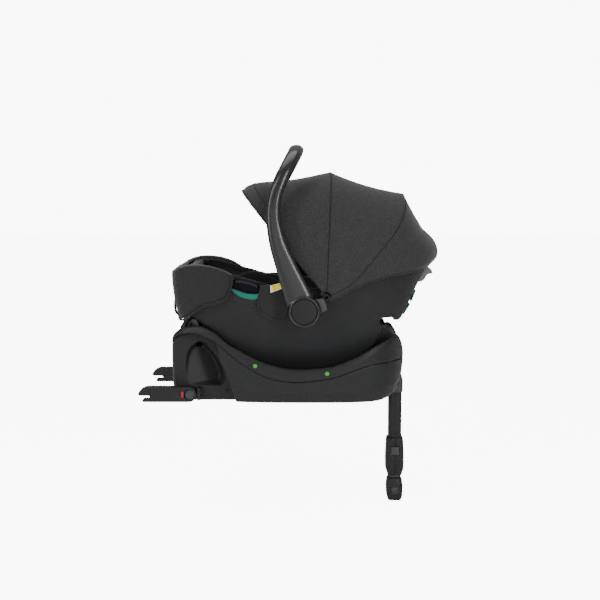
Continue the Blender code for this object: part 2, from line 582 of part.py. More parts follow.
# ---- anchor arms ----------------------------------------------------------------------------------------
def anchor_arms():
    """The arms that grip the vehicle's lower anchor bars, with their latch hooks and release buttons."""
    px, pz = ARM_PIVOT
    top, bottom = pz + ARM_R, pz - ARM_R
    outline = (arc(px, pz, ARM_R, -90, 90, 10)
               + [(-0.102, top), (-0.114, 0.0315), (ARM_TIP, 0.0225), (ARM_TIP, 0.0175), (-0.117, 0.0160)]
               + arc(-0.098, 0.0115, 0.0045, 90, -90, 6)
               + [(-0.109, 0.0070), (-0.1125, 0.0040), (-0.1095, bottom)])
    for side, s in SIDES:
        y_in, y_out = s * (ARM_Y - ARM_THICK / 2), s * (ARM_Y + ARM_THICK / 2)
        arm = plate(f"isofix_arm_{side}", outline, y_in, y_out, "black_plastic")
        cut(arm, cylinder(f"cut_arm_bore_{side}", px, pz, CROSS_TUBE_R + RUNNING, s * 0.120, s * 0.1463))
        cut(arm, cylinder(f"cut_arm_button_{side}", px, pz, ARM_BUTTON_R + 0.0004, s * 0.1480, s * 0.160))
        slit = rounded_box_outline(-0.110, 0.0035, -0.062, 0.0325, 0.004, 2)
        cut(arm, plate(f"cut_arm_slit_{side}", slit, s * (ARM_Y - 0.0020), s * (ARM_Y + 0.0020)))
        cylinder(f"isofix_button_{side}", px, pz, ARM_BUTTON_R, s * 0.1510, s * 0.1570, "grey_plastic",
                 segments=20, r_end=ARM_BUTTON_R - 0.001)
        jaw = (arc(-0.076, 0.0235, 0.0065, -100, 150, 8)
               + [(-0.090, 0.0245), (-0.095, 0.0205), (-0.093, 0.0180), (-0.084, 0.0175)])
        plate(f"isofix_jaw_{side}", jaw, s * (ARM_Y - 0.0015), s * (ARM_Y + 0.0015), "steel")


# ---- carrier --------------------------------------------------------------------------------------------
def level_ring(z, x0, x1, half, inset, points=28):
    """A level section of the carrier: a superellipse, moved in by inset."""
    cx, a, b = (x0 + x1) / 2, (x1 - x0) / 2 - inset, half - inset
    ring = []
    for k in range(points):
        angle = 2 * math.pi * (k + 0.5) / points
        c, s = math.cos(angle), math.sin(angle)
        power = 2 / (HEAD_ROUNDNESS if c > 0 else FEET_ROUNDNESS)
        ring.append((cx + a * math.copysign(abs(c) ** power, c), b * math.copysign(abs(s) ** power, s), z))
    return ring


def bucket(name, inset, outline, look=None):
    """The part of a side-view slab that lies inside the carrier's rounded form, moved in by inset."""
    rings = [level_ring(z, x0, x1, half, inset) for z, x0, x1, half in SEAT_LEVELS]
    form = loft(name, rings, look)
    slab = plate(f"slab_{name}", outline, -SLAB_HALF, SLAB_HALF)
    return combine(form, "INTERSECT", slab)


def shell_outline():
    """The shell from the side: rocker, docking notch at the head end, sloping back and rim."""
    notch = [(0.4525, 0.148), (0.455, 0.159), (0.471, 0.172), (0.4755, 0.181), (0.472, 0.186)]
    notch += arc(0.4645, 0.1925, 0.0085, -45, -262, 8)
    heel = [(0.489, 0.201), (0.4915, 0.193), (0.505, 0.1925), (0.5115, 0.199)]
    return curve_through(ROCKER, 2) + notch + heel + [(0.577, 0.332)] + curve_through(SEAT_RIM, 2)[1:]


def open_top(line, top=0.426):
    """A bowl's profile carried straight up past the rim at both ends."""
    return [(line[0][0], top), *line, (line[-1][0], top)]


def seat_shell():
    """The shell, with the bosses and pins that carry the handle and the canopy."""
    shell = bucket("seat_shell", 0.0, shell_outline(), "black_plastic")
    for side, s in SIDES:
        join(shell, cylinder(f"join_hub_boss_{side}", *HUB, 0.031, s * 0.150, s * (HUB_IN - GAP),
                             r_end=0.028))
        join(shell, cylinder(f"join_canopy_boss_{side}", *CANOPY_PIVOT, 0.011, s * 0.150, s * 0.1733,
                             segments=16))
    cut(shell, bucket("cut_shell_cavity", SEAT_WALL, open_top(offset(CAVITY, 0.0))))
    channel = [(-0.064, 0.000), (0.466, 0.000), (0.466, TUNNEL_TOP + 0.005), (-0.064, TUNNEL_TOP + 0.005)]
    cut(shell, plate("cut_shell_channel", channel, -0.054, 0.054))
    for place, (x, z) in ((bar[0], bar[1]) for bar in DOCKING_BARS):
        slot = [(x - 0.007, z - 0.050), (x + 0.007, z - 0.050), *arc(x, z, 0.007, 0, 180, 6)]
        cut(shell, plate(f"cut_dock_slot_{place}", slot, -SLOT_HALF_SPAN, SLOT_HALF_SPAN))
    for side, s in SIDES:
        join(shell, cylinder(f"join_hub_pin_{side}", *HUB, HUB_PIN_R, s * 0.180, s * 0.2115))
        join(shell, cylinder(f"join_canopy_pin_{side}", *CANOPY_PIVOT, CANOPY_PIN_R, s * 0.165, s * 0.1902,
                             segments=16))
        lens = curve_through([(0.106, 0.274), (0.124, 0.292), (0.148, 0.294), (0.170, 0.278), (0.168, 0.264),
                              (0.148, 0.262), (0.124, 0.266), (0.106, 0.274)], 2)[:-1]
        cut(shell, plate(f"cut_belt_slot_{side}", lens, s * 0.150, s * 0.200))


def seat_inside():
    """The foam liner in the shell and the padded cover in the liner."""
    top = between(curve_through(raised(SEAT_RIM, -0.004), 2), -0.006, 0.545)
    foam = bucket("foam_liner", SEAT_WALL + GAP, offset(CAVITY, 0.0008)[1:-1] + top, "foam")
    cut(foam, bucket("cut_foam", SEAT_WALL + GAP + FOAM_WALL, open_top(offset(SEAT_SURFACE, 0.0))))
    outside = offset(SEAT_SURFACE, 0.0008)
    pad_top = curve_through(raised(SEAT_RIM, 0.009), 2)
    pad_top = between(pad_top, outside[0][0] + 0.004, outside[-1][0] - 0.004)
    pad = bucket("seat_pad", SEAT_WALL + 2 * GAP + FOAM_WALL, outside + pad_top, "black_fabric")
    cut(pad, bucket("cut_pad", SEAT_WALL + FOAM_WALL + PAD_WALL, open_top(offset(SEAT_SURFACE, PAD_WALL))))


def foot_wrap():
    """The cover's skirt, which wraps the shell's feet end and rolls over its rim."""
    skirt = curve_through([(0.109, 0.306), (0.104, 0.285), (0.097, 0.262), (0.088, 0.251), (0.056, 0.239),
                           (0.036, 0.233), (0.020, 0.220), (0.006, 0.208), (-0.008, 0.198),
                           (-0.022, 0.192), (-0.060, 0.191)], 2)
    rim = [(x, z + 0.008) for x, z in reversed(SEAT_RIM[9:])]
    wrap = bucket("cover_foot_wrap", -0.0075, skirt + [(-0.060, 0.306)] + rim, "black_fabric")
    inside = offset(ROCKER, -0.0008) + [(0.470, 0.206)] + curve_through(raised(SEAT_RIM, 0.001), 2)
    cut(wrap, block("cut_wrap_rim", (-0.070, -0.086, 0.180), (0.040, 0.086, 0.2080)))
    cut(wrap, bucket("cut_wrap_shell", -0.0006, inside))
    cut(wrap, bucket("cut_wrap_inside", 0.0215,
                     [(-0.064, 0.106), (0.536, 0.106), (0.536, 0.426), (-0.064, 0.426)]))


def side_flaps():
    """The cover's side flaps, between the belt slots and the handle hubs."""
    flap = curve_through([(0.176, 0.275), (0.170, 0.252), (0.170, 0.237), (0.176, 0.222), (0.188, 0.211),
                          (0.205, 0.204), (0.223, 0.202), (0.230, 0.214), (0.235, 0.240), (0.236, 0.265)], 2)
    flap += [(0.216, 0.268), (0.196, 0.2705)]
    for side, s in SIDES:
        made = bucket(f"cover_flap_{side}", -0.0055, flap, "black_fabric")
        keep = side_box(f"keep_flap_{side}", s, (0.136, 0.10, 0.15), (0.286, SLAB_HALF, 0.31))
        combine(made, "INTERSECT", keep)
        cut(made, bpy.data.objects["cut_wrap_shell"])


def headrest():
    """A winged head pad on the seat's back, free to slide up it."""
    slope = math.atan2(0.256 - 0.158, 0.255 - 0.145)
    bm = bmesh.new()
    bmesh.ops.create_cube(bm, size=1.0)
    bmesh.ops.scale(bm, vec=(0.130, 0.200, 0.022), verts=bm.verts)
    made = finish_bmesh("headrest", bm, "black_fabric")
    made.rotation_euler = (0, -slope, 0)
    made.location = (0.432, 0.0, 0.262)
    for side, s in SIDES:
        wing = [(-0.055, 0.0), (0.062, 0.0), (0.058, 0.058), (0.010, 0.070), (-0.042, 0.044)]
        piece = plate(f"join_wing_{side}", wing, s * 0.082, s * 0.104)
        piece.rotation_euler = made.rotation_euler
        piece.location = made.location
        join(made, piece)


def on_seat(x, lift):
    """A point of the padded seat's middle line at x, raised by lift."""
    return (x, height_on(SEAT_SURFACE, x) + PAD_WALL + lift)


def strap(name, points, half_width, thickness, look="webbing"):
    """A flat strap along points (x, y, z), its width across the seat."""
    path = curve_through(points, 3)
    rings = []
    for k, (x, y, z) in enumerate(path):
        a, b = path[max(k - 1, 0)], path[min(k + 1, len(path) - 1)]
        length = math.hypot(b[0] - a[0], b[2] - a[2])
        nx, nz = -(b[2] - a[2]) / length * thickness / 2, (b[0] - a[0]) / length * thickness / 2
        rings.append([(x - nx, y - half_width, z - nz), (x - nx, y + half_width, z - nz),
                      (x + nx, y + half_width, z + nz), (x + nx, y - half_width, z + nz)])
    return loft(name, rings, look)


def harness():
    """The shoulder straps, buckle, crotch strap and the adjuster's loop at the feet end."""
    for side, s in SIDES:
        points = [(x, s * y, on_seat(x, lift)[1]) for x, y, lift in
                  ((0.396, 0.040, 0.009), (0.356, 0.038, 0.010), (0.316, 0.034, 0.014),
                   (0.281, 0.028, 0.018), (0.250, 0.020, 0.022))]
        strap(f"shoulder_strap_{side}", points, 0.0125, 0.003)
    cx, cz = on_seat(0.230, 0.0)
    buckle = block("buckle", (cx - 0.026, -0.024, cz + 0.013), (cx + 0.018, 0.024, cz + 0.033),
                   "black_plastic", bevel=0.004)
    cut(buckle, block("cut_buckle", (cx - 0.0185, -0.0115, cz + 0.0240), (cx + 0.0025, 0.0115, cz + 0.050)))
    block("buckle_button", (cx - 0.018, -0.011, cz + 0.0272), (cx + 0.002, 0.011, cz + 0.0342),
          "red_plastic", bevel=0.001, segments=1)
    strap("crotch_strap", [(x, 0.0, on_seat(x, lift)[1]) for x, lift in
                           ((0.200, 0.020), (0.186, 0.013), (0.174, 0.003))], 0.015, 0.003)
    loop = [(-0.0445, 0.0, 0.250), (-0.048, 0.0, 0.236), (-0.051, 0.0, 0.220), (-0.050, 0.0, 0.206),
            (-0.043, 0.0, 0.193)]
    strap("adjuster_strap", loop, 0.0125, 0.0022)


def belt_guides():
    """The green lips under the lap-belt slots and the shoulder-belt guide on the back."""
    crescent = curve_through([(0.102, 0.2715), (0.124, 0.2635), (0.148, 0.259), (0.168, 0.2605)], 3)
    crescent += curve_through([(0.166, 0.254), (0.156, 0.2495), (0.144, 0.2495), (0.124, 0.256)], 3)
    for side, s in SIDES:
        guide = bucket(f"lap_belt_guide_{side}", -0.0045, crescent, "green_plastic")
        keep = side_box(f"keep_guide_{side}", s, (0.076, 0.10, 0.15), (0.286, SLAB_HALF, 0.31))
        combine(guide, "INTERSECT", keep)
        cut(guide, bpy.data.objects["cut_wrap_shell"])
        lens = curve_through([(0.107, 0.274), (0.124, 0.291), (0.148, 0.293), (0.169, 0.278),
                              (0.167, 0.2655), (0.148, 0.2635), (0.124, 0.2675), (0.107, 0.274)], 2)[:-1]
        insert = bucket(f"belt_slot_insert_{side}", 0.0020, lens, "navy_plastic")
        combine(insert, "INTERSECT", keep)
        cut(insert, bucket(f"cut_insert_{side}", 0.0062,
                           [(0.04, 0.2), (0.24, 0.2), (0.24, 0.4), (0.04, 0.4)]))
    slope = Vector((0.341 - 0.2755, 0, 0.326 - 0.193)).normalized()
    out = Vector((slope.z, 0, -slope.x))
    start = Vector((0.5115, 0, 0.199))
    for place, along, hook in (("lower", 0.004, 1), ("upper", 0.040, -1)):
        a = start + slope * along + out * 0.0006
        b = a + slope * 0.031
        near, far = (a, b) if hook > 0 else (b, a)
        tip = (far - near).normalized()
        outline = [near, near + out * 0.010, near + tip * 0.030 + out * 0.013,
                   near + tip * 0.0305 + out * 0.0095, near + tip * 0.008 + out * 0.006, near + tip * 0.010]
        plate(f"shoulder_belt_guide_{place}", [(p.x, p.z) for p in outline], -0.038, 0.038, "green_plastic")


def release_gear():
    """The grey pull that frees the carrier from its base."""
    pull = curve_through([(0.5545, 0.2815), (0.562, 0.2795), (0.571, 0.285), (0.579, 0.2975),
                          (0.589, 0.2995), (0.592, 0.302), (0.588, 0.311), (0.578, 0.318)], 2)
    pull += [(0.5725, 0.3175), (0.5705, 0.3145)]
    plate("release_handle", pull, -0.046, 0.046, "grey_plastic")


def carry_handle():
    """The carrying handle: half a swept bow mirrored, with its hubs, hub covers and grip buttons."""
    path = curve_through(HANDLE_LINE, 2)
    rings = []
    points = 12
    for k, (x, y, z, depth, thick) in enumerate(path):
        a, b = path[max(k - 1, 0)], path[min(k + 1, len(path) - 1)]
        along = Vector((b[0] - a[0], -(b[1] - a[1]), b[2] - a[2])).normalized()
        if k == 0:
            along = Vector((0, -1, 0))
        across = (Vector((1, 0, 0)) - along * along.x).normalized()
        other = along.cross(across)
        ring = []
        for i in range(points):
            angle = 2 * math.pi * i / points
            out = across * (depth / 2 * math.cos(angle)) + other * (thick / 2 * math.sin(angle))
            ring.append(Vector((x, -y, z)) + out)
        rings.append(ring)
    handle = loft("carry_handle", rings, "black_plastic", open_start=True)
    mirror = handle.modifiers.new("other_side", "MIRROR")
    mirror.use_axis = (False, True, False)
    mirror.merge_threshold = 0.0001
    for side, s in SIDES:
        hub = cylinder(f"join_hub_{side}", *HUB, HUB_R, s * HUB_IN, s * HUB_OUT, segments=28)
        join(handle, hub)
        cut(handle, cylinder(f"cut_hub_recess_{side}", *HUB, 0.0310, s * 0.2172, s * 0.230, segments=28))
        cut(handle, cylinder(f"cut_hub_bore_{side}", *HUB, HUB_PIN_R + RUNNING, s * 0.190, s * 0.2125))
        cylinder(f"handle_hub_cover_{side}", *HUB, 0.0305, s * 0.2177, s * 0.2222, "black_plastic",
                 segments=28, r_end=0.0292)
        tab = arc(*HUB, HUB_R + 0.0008, 48, -6, 8) + arc(*HUB, 0.0535, 4, 36, 6)
        plate(f"handle_button_{side}", tab, s * 0.1985, s * 0.2125, "grey_plastic")


# ---- canopy ---------------------------------------------------------------------------------------------
def bow_points(length, foot_y, half=BOW_HALF, corner=BOW_CORNER, start=0.004, steps=7):
    """Half a bow in its own plane, from its foot to the middle: (height along the bow, y)."""
    side = [(start, foot_y), (0.045, foot_y), (0.110, (foot_y + half) / 2 + 0.001)]
    turn = [(h, y) for y, h in arc(half - corner, length - corner, corner, 0, 90, steps)]
    return side + turn + [(length, 0.0)]


def bow_place(angle, height, y, sweep=1.0):
    """A point of a bow turned by angle about the canopy pivot; the rear one, with no angle, is bent."""
    if angle is None:
        angle = height_on(REAR_SWEEP, height * sweep)
    a = math.radians(angle)
    return (CANOPY_PIVOT[0] + height * math.sin(a), y, CANOPY_PIVOT[1] + height * math.cos(a))


def canopy_bows():
    """Three bows that turn about the canopy pins, each with an eye at both feet."""
    for name, angle, length, foot in BOWS:
        half = bow_points(length, foot)
        line = both_ways([bow_place(angle, h, y, 1.04) for h, y in half])
        bow = rod(f"canopy_{name}_bow", line, BOW_R, "black_plastic")
        for side, s in SIDES:
            y0, y1 = s * (foot - BOW_R), s * (foot + BOW_R)
            join(bow, cylinder(f"join_eye_{name}_{side}", *CANOPY_PIVOT, BOW_EYE_R, y0, y1, segments=16))
            cut(bow, cylinder(f"cut_eye_{name}_{side}", *CANOPY_PIVOT, CANOPY_PIN_R + RUNNING,
                              s * 0.15, s * 0.21, segments=16))


def both_ways(half):
    """A line from one foot to the other, from its half at +Y given foot first."""
    return [(x, -y, z) for x, y, z in half] + half[-2::-1]


def edge_points(angle, length):
    """The edge of a cloth panel over a bow."""
    half = [(0.015, PANEL_FOOT), (0.060, PANEL_FOOT - 0.001), (0.110, 0.188), (length - 0.150, 0.184)]
    centre = (PANEL_HALF - PANEL_CORNER, length - PANEL_CORNER)
    half += [(h, y) for y, h in arc(*centre, PANEL_CORNER, 0, 90, 7)] + [(length, 0.0)]
    return both_ways([bow_place(angle, h, y) for h, y in half])


def panel(name, lines, steps=3):
    """A sheet of cloth with thickness, stretched across lines and just short of its neighbours."""
    bm = bmesh.new()
    rows = []
    spans = list(zip(lines, lines[1:]))
    for n, (a, b) in enumerate(spans):
        for k in range(0 if n == 0 else 1, steps + 1):
            row = []
            for p, q in zip(a, b):
                gap = min(0.2, 0.0011 / math.dist(p, q))
                t = k / steps
                if n == 0 and k == 0:
                    t = gap
                if n == len(spans) - 1 and k == steps:
                    t = 1 - gap
                row.append(bm.verts.new(Vector(p).lerp(Vector(q), t)))
            rows.append(row)
    for r0, r1 in zip(rows, rows[1:]):
        for i in range(len(r0) - 1):
            bm.faces.new((r0[i], r0[i + 1], r1[i + 1], r1[i]))
    made = finish_bmesh(name, bm, "canopy_fabric")
    solid = made.modifiers.new("thickness", "SOLIDIFY")
    solid.thickness = SHEET
    solid.offset = 0.0


def hem_points(count):
    """The rear hem as count points from side to side."""
    smooth = np.array(curve_through(HEM_LINE, 3))
    picks = np.linspace(0, len(smooth) - 1, (count + 1) // 2)
    columns = [np.interp(picks, range(len(smooth)), smooth[:, i]) for i in range(3)]
    return both_ways([tuple(float(v) for v in p) for p in zip(*columns)])


def canopy_panels():
    """Cloth between the bows, and from the rear bow round the seat's head end."""
    front, brim, middle, rear = (edge_points(angle, length) for angle, length in PANEL_EDGES)
    hem = hem_points(len(rear))
    folds = [[] for _ in BACK_FOLDS]
    for p, q in zip(rear, hem):
        full = min(1.0, math.dist(p, q) / 0.15) * (1 - (q[1] / 0.191) ** 2)
        for fold, (share, flare) in zip(folds, BACK_FOLDS):
            fold.append(tuple(Vector(q).lerp(Vector(p), share) + Vector((flare * full, 0, 0))))
    panel("canopy_front_panel", (front, brim, middle), 2)
    panel("canopy_middle_panel", (middle, rear))
    panel("canopy_rear_panel", (rear, folds[0]), 2)
    panel("canopy_rear_hem", (*folds, hem), 1)


# ---- origins --------------------------------------------------------------------------------------------
PIVOTS = [
    (("isofix_arm", "isofix_jaw", "isofix_button"), (ARM_PIVOT[0], 0.0, ARM_PIVOT[1])),
    (("leg_top", "leg_outer", "leg_clamp", "leg_button"), (LEG_PIVOT[0], 0.0, LEG_PIVOT[1])),
    (("leg_inner", "leg_foot", "foot_sole"), (LEG_X, 0.0, 0.0)),
    (("carry_handle", "handle_"), (HUB[0], 0.0, HUB[1])),
    (("canopy_front", "canopy_middle"), (CANOPY_PIVOT[0], 0.0, CANOPY_PIVOT[1])),
    (("buckle_button",), (0.225, 0.0, 0.155)),
    (("release_handle",), (0.572, 0.0, 0.298)),
]


def place_origins():
    """Move each moving piece's origin onto its joint's axis, leaving its shape where it is."""
    for prefixes, point in PIVOTS:
        for part in PARTS.objects:
            if part.name.startswith(prefixes):
                part.data.transform(Matrix.Translation(-Vector(point)))
                part.location = point


base_lower_housing()
base_upper_cover()
docking_arch()
base_inside()
base_indicators()
leg_tubes()
leg_clamp()
leg_foot()
anchor_arms()
seat_shell()
seat_inside()
foot_wrap()
side_flaps()
headrest()
harness()
belt_guides()
release_gear()
carry_handle()
canopy_bows()
canopy_panels()
place_origins()
for part in PARTS.objects:
    part.data.shade_smooth()
    part.data.set_sharp_from_angle(angle=math.radians(35))
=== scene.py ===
"""Studio scene of an infant car seat on its base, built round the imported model.

Metres, +Z up; X runs from the feet end to the head end, and Y = 0 is the plane of symmetry. Moulded parts are
made again here at a fine resolution from the same driving lines as the solids they stand for, soft goods are
padded by cloth simulation, and every material is made of nodes.
"""

import math

import bmesh
import bpy
import numpy as np
from mathutils import Matrix, Vector
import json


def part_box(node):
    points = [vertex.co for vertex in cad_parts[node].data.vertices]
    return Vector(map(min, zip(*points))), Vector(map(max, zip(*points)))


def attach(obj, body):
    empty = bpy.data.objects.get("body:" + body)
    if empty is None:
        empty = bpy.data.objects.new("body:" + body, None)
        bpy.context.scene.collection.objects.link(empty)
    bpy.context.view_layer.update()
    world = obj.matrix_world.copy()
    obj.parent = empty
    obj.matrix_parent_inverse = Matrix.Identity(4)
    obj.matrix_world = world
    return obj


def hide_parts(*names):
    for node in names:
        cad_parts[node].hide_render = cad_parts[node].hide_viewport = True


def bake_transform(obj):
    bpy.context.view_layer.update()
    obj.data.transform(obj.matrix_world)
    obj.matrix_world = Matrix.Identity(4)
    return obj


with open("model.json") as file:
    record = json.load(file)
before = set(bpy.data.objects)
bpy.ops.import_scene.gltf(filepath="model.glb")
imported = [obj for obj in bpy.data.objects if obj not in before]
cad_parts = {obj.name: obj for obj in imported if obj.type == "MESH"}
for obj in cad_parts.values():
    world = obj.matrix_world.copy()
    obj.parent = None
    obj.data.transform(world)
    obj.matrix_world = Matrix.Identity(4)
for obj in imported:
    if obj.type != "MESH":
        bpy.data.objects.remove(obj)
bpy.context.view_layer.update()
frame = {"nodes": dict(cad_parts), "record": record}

SIDES = (("left", -1), ("right", 1))


def mm(*points):
    """Points given in millimetres."""
    return [tuple(v / 1000 for v in point) for point in points]


# ---- driving lines, as (x, z) in the side view ----------------------------------------------------------
BASE_REAR, BASE_FRONT = -0.044, 0.520
RIM_LINE = mm((-44, 150), (-38, 161), (-33, 166), (-25, 173), (-17, 178), (-6, 181), (7, 183), (20, 184),
              (32, 183), (46, 178), (60, 171), (74, 161), (86, 150), (99, 140), (126, 126), (152, 112),
              (177, 101), (203, 93), (229, 87), (266, 84), (306, 86), (346, 92), (397, 111), (423, 125),
              (443, 136), (463, 145), (478, 152), (490, 160), (499, 160), (507, 151), (514, 136), (520, 112))
SEAM_LINE = mm((-44, 133), (-39, 144), (-30, 155), (-19, 161), (-6, 164.5), (7, 165.5), (20, 164.5),
               (33, 160), (46, 155), (59, 149), (75, 139), (90, 125), (106, 112), (126, 97), (164, 74),
               (203, 60), (254, 53), (306, 57), (346, 64), (397, 81), (423, 89), (449, 94), (474, 96),
               (500, 97), (520, 96))
TRAY_FLOOR = mm((-44, 137.5), (-38, 148), (-34, 154), (-26, 160), (-17, 165), (-6, 167.5), (7, 169),
                (20, 169.5), (36, 166), (54, 157), (76, 142), (126, 106), (186, 76), (236, 60), (286, 54),
                (336, 60), (386, 78), (436, 106), (464, 126), (481, 143), (494, 151), (504, 145), (512, 131),
                (520, 100))
BASE_HALF_WIDTH = mm((-44, 104), (-38, 121), (-26, 133), (-6, 143), (26, 152), (56, 161), (96, 170),
                     (136, 177), (196, 183), (266, 185), (356, 184), (416, 176), (461, 158), (491, 130),
                     (511, 92), (520, 60))
BASE_FOOT = mm((-44, 34), (-36, 12), (-24, 0), (440, 0), (461, 2), (477, 7), (490, 14), (501, 25), (509, 37),
               (515, 52), (520, 75))
REAR_FLANK = 0.123
CHANNEL_HALF, CHANNEL_ROOF, TUNNEL_TOP = 0.034, 0.060, 0.068
PARTING = 0.00035  # half the gap at the parting line

SEAT_RIM = mm((576, 336), (536, 332), (486, 319), (436, 305), (386, 289), (336, 274), (286, 267), (216, 272),
              (156, 285), (106, 302), (56, 317), (11, 321), (-38, 311))
ROCKER = mm((-32, 291), (-26, 256), (-10, 220), (21, 196), (56, 170), (96, 137), (141, 107), (191, 83),
            (241, 69), (291, 64), (341, 70), (386, 88), (424, 115), (444, 136))
CAVITY = mm((-22, 296), (-17, 260), (2, 227), (29, 206), (62, 181), (102, 148), (146, 118), (191, 96),
            (236, 86), (291, 84), (341, 86), (386, 100), (416, 122), (440, 156), (452, 194), (470, 212),
            (498, 218), (532, 276), (556, 330))
SEAT_SURFACE = mm((0, 306), (10, 262), (46, 224), (106, 178), (171, 139), (231, 116), (276, 111), (321, 124),
                  (381, 164), (441, 215), (491, 262), (532, 312), (541, 334))
# z, x at the feet end, x at the head end, half-width
SEAT_LEVELS = mm((51, 46, 498, 108), (86, 24, 508, 127), (126, 6, 516, 142), (176, -12, 526, 155),
                 (226, -27, 542, 165), (271, -34, 558, 171), (316, -37, 580, 175), (366, -38, 602, 176))
FEET_ROUNDNESS, HEAD_ROUNDNESS = 4.4, 3.2
SEAT_WALL = 0.007

LEG_PIVOT = (0.502, 0.029)
HUB = (0.276, 0.225)
HUB_R, HUB_IN, HUB_OUT = 0.037, 0.197, 0.221
CANOPY_PIVOT = (0.328, 0.256)
REAR_SWEEP = [(0.0, 66.0), (0.047, 64.5), (0.090, 58.0), (0.129, 52.6), (0.165, 49.8), (0.201, 47.9),
              (0.237, 45.6), (0.273, 42.6), (0.292, 40.0), (0.303, 37.8)]
HEM_LINE = mm((334, 191, 247), (354, 190.5, 256), (376, 190, 269), (406, 188.5, 284), (436, 185, 295),
              (471, 178, 304), (510, 165, 311), (541, 144, 316), (565, 112, 320), (581, 62, 324),
              (587, 0, 325))
# the handle's centre line from the middle of the grip: x, half-span y, z, depth, thickness
HANDLE_LINE = mm((257, 0, 600.5, 36, 27), (257, 60, 600.5, 36, 27), (256, 104, 597.5, 36, 27),
                 (250, 147, 585, 35, 27), (236, 179, 558, 34, 26), (221, 195.5, 528, 33, 24),
                 (208, 203, 491, 32, 22), (204, 206.5, 443, 34, 21), (214, 208, 386, 40, 21),
                 (231, 209, 337, 48, 21), (251, 209, 286, 58, 21), (265, 209, 252, 64, 21),
                 (274, 209, 230, 66, 21))


# ---- shape tools ----------------------------------------------------------------------------------------
def curve_through(points, steps=6):
    """Points along a smooth curve through the given ones (Catmull-Rom), of any dimension."""
    p = np.array(points, float)
    p = np.vstack([2 * p[0] - p[1], p, 2 * p[-1] - p[-2]])
    made = []
    for a, b, c, d in zip(p, p[1:], p[2:], p[3:]):
        for k in range(steps):
            t = k / steps
            made.append(0.5 * (2 * b + (c - a) * t + (2 * a - 5 * b + 4 * c - d) * t * t
                               + (3 * b - a - 3 * c + d) * t ** 3))
    made.append(p[-2])
    return [tuple(float(v) for v in q) for q in made]


def height_on(line, x):
    """The second value of a line at x, read from its smooth curve."""
    smooth = np.array(curve_through(line, 8))
    return float(np.interp(x, smooth[:, 0], smooth[:, 1]))


def offset(line, distance):
    """A smooth bowl-shaped line, feet end first, moved squarely towards its inside."""
    smooth = np.array(curve_through(line))
    along = np.gradient(smooth, axis=0)
    along /= np.linalg.norm(along, axis=1)[:, None]
    moved = smooth + distance * np.column_stack([-along[:, 1], along[:, 0]])
    return [(float(x), float(z)) for x, z in moved]


def between(line, low, high):
    return [p for p in line if low <= p[0] <= high]


def raised(line, by):
    return [(x, z + by) for x, z in line]


def arc(cx, cz, r, start, end, steps):
    angles = np.radians(np.linspace(start, end, steps + 1))
    return [(cx + r * math.cos(a), cz + r * math.sin(a)) for a in angles]


def rounded_box_outline(x0, z0, x1, z1, r, steps=6):
    return (arc(x1 - r, z0 + r, r, -90, 0, steps) + arc(x1 - r, z1 - r, r, 0, 90, steps)
            + arc(x0 + r, z1 - r, r, 90, 180, steps) + arc(x0 + r, z0 + r, r, 180, 270, steps))


def link(name, mesh):
    obj = bpy.data.objects.new(name, mesh)
    bpy.context.scene.collection.objects.link(obj)
    return obj


def from_bmesh(name, bm):
    bmesh.ops.recalc_face_normals(bm, faces=bm.faces)
    mesh = bpy.data.meshes.new(name)
    bm.to_mesh(mesh)
    bm.free()
    mesh.shade_smooth()
    return link(name, mesh)


def loft(name, rings):
    """A closed body through rings of points."""
    bm = bmesh.new()
    made = [[bm.verts.new(p) for p in ring] for ring in rings]
    for a, b in zip(made, made[1:]):
        for i in range(len(a)):
            k = (i + 1) % len(a)
            bm.faces.new((a[i], a[k], b[k], b[i]))
    bm.faces.new(made[0])
    bm.faces.new(made[-1])
    return from_bmesh(name, bm)


def grid(name, rows):
    """An open surface through rows of points."""
    bm = bmesh.new()
    made = [[bm.verts.new(p) for p in row] for row in rows]
    for r0, r1 in zip(made, made[1:]):
        for i in range(len(r0) - 1):
            bm.faces.new((r0[i], r0[i + 1], r1[i + 1], r1[i]))
    return from_bmesh(name, bm)


def plate(name, outline, y0, y1):
    """A side-view outline made into a slab from y0 to y1."""
    return loft(name, [[(x, y, z) for x, z in outline] for y in (y0, y1)])


def cylinder(name, x, z, r, y0, y1, segments=48, r_end=None):
    bm = bmesh.new()
    bmesh.ops.create_cone(bm, cap_ends=True, segments=segments, radius1=r, radius2=r_end or r,
                          depth=abs(y1 - y0))
    turn = Matrix.Rotation(math.pi / 2 if y1 < y0 else -math.pi / 2, 4, "X")
    bmesh.ops.transform(bm, matrix=Matrix.Translation((x, (y0 + y1) / 2, z)) @ turn, verts=bm.verts)
    return from_bmesh(name, bm)


def block(name, corner, other):
    """A box between two opposite corners."""
    bm = bmesh.new()
    low, high = (Vector(list(map(choose, corner, other))) for choose in (min, max))
    bmesh.ops.create_cube(bm, size=1.0)
    bmesh.ops.scale(bm, vec=high - low, verts=bm.verts)
    bmesh.ops.translate(bm, vec=(low + high) / 2, verts=bm.verts)
    return from_bmesh(name, bm)


def tube(name, points, radius, segments):
    """A round seam or piping along points."""
    curve = bpy.data.curves.new(name, "CURVE")
    curve.dimensions = "3D"
    curve.bevel_depth = radius
    curve.bevel_resolution = max(1, segments // 2 - 2)
    curve.use_fill_caps = True
    spline = curve.splines.new("POLY")
    spline.points.add(len(points) - 1)
    for point, co in zip(spline.points, points):
        point.co = (*co, 1)
    source = link(name, curve)
    mesh = mesh_of(source)
    bpy.data.objects.remove(source)
    bm = bmesh.new()
    bm.from_mesh(mesh)
    bmesh.ops.remove_doubles(bm, verts=bm.verts, dist=0.00001)
    bpy.data.meshes.remove(mesh)
    return from_bmesh(name, bm)


def mesh_of(obj):
    graph = bpy.context.evaluated_depsgraph_get()
    return bpy.data.meshes.new_from_object(obj.evaluated_get(graph))


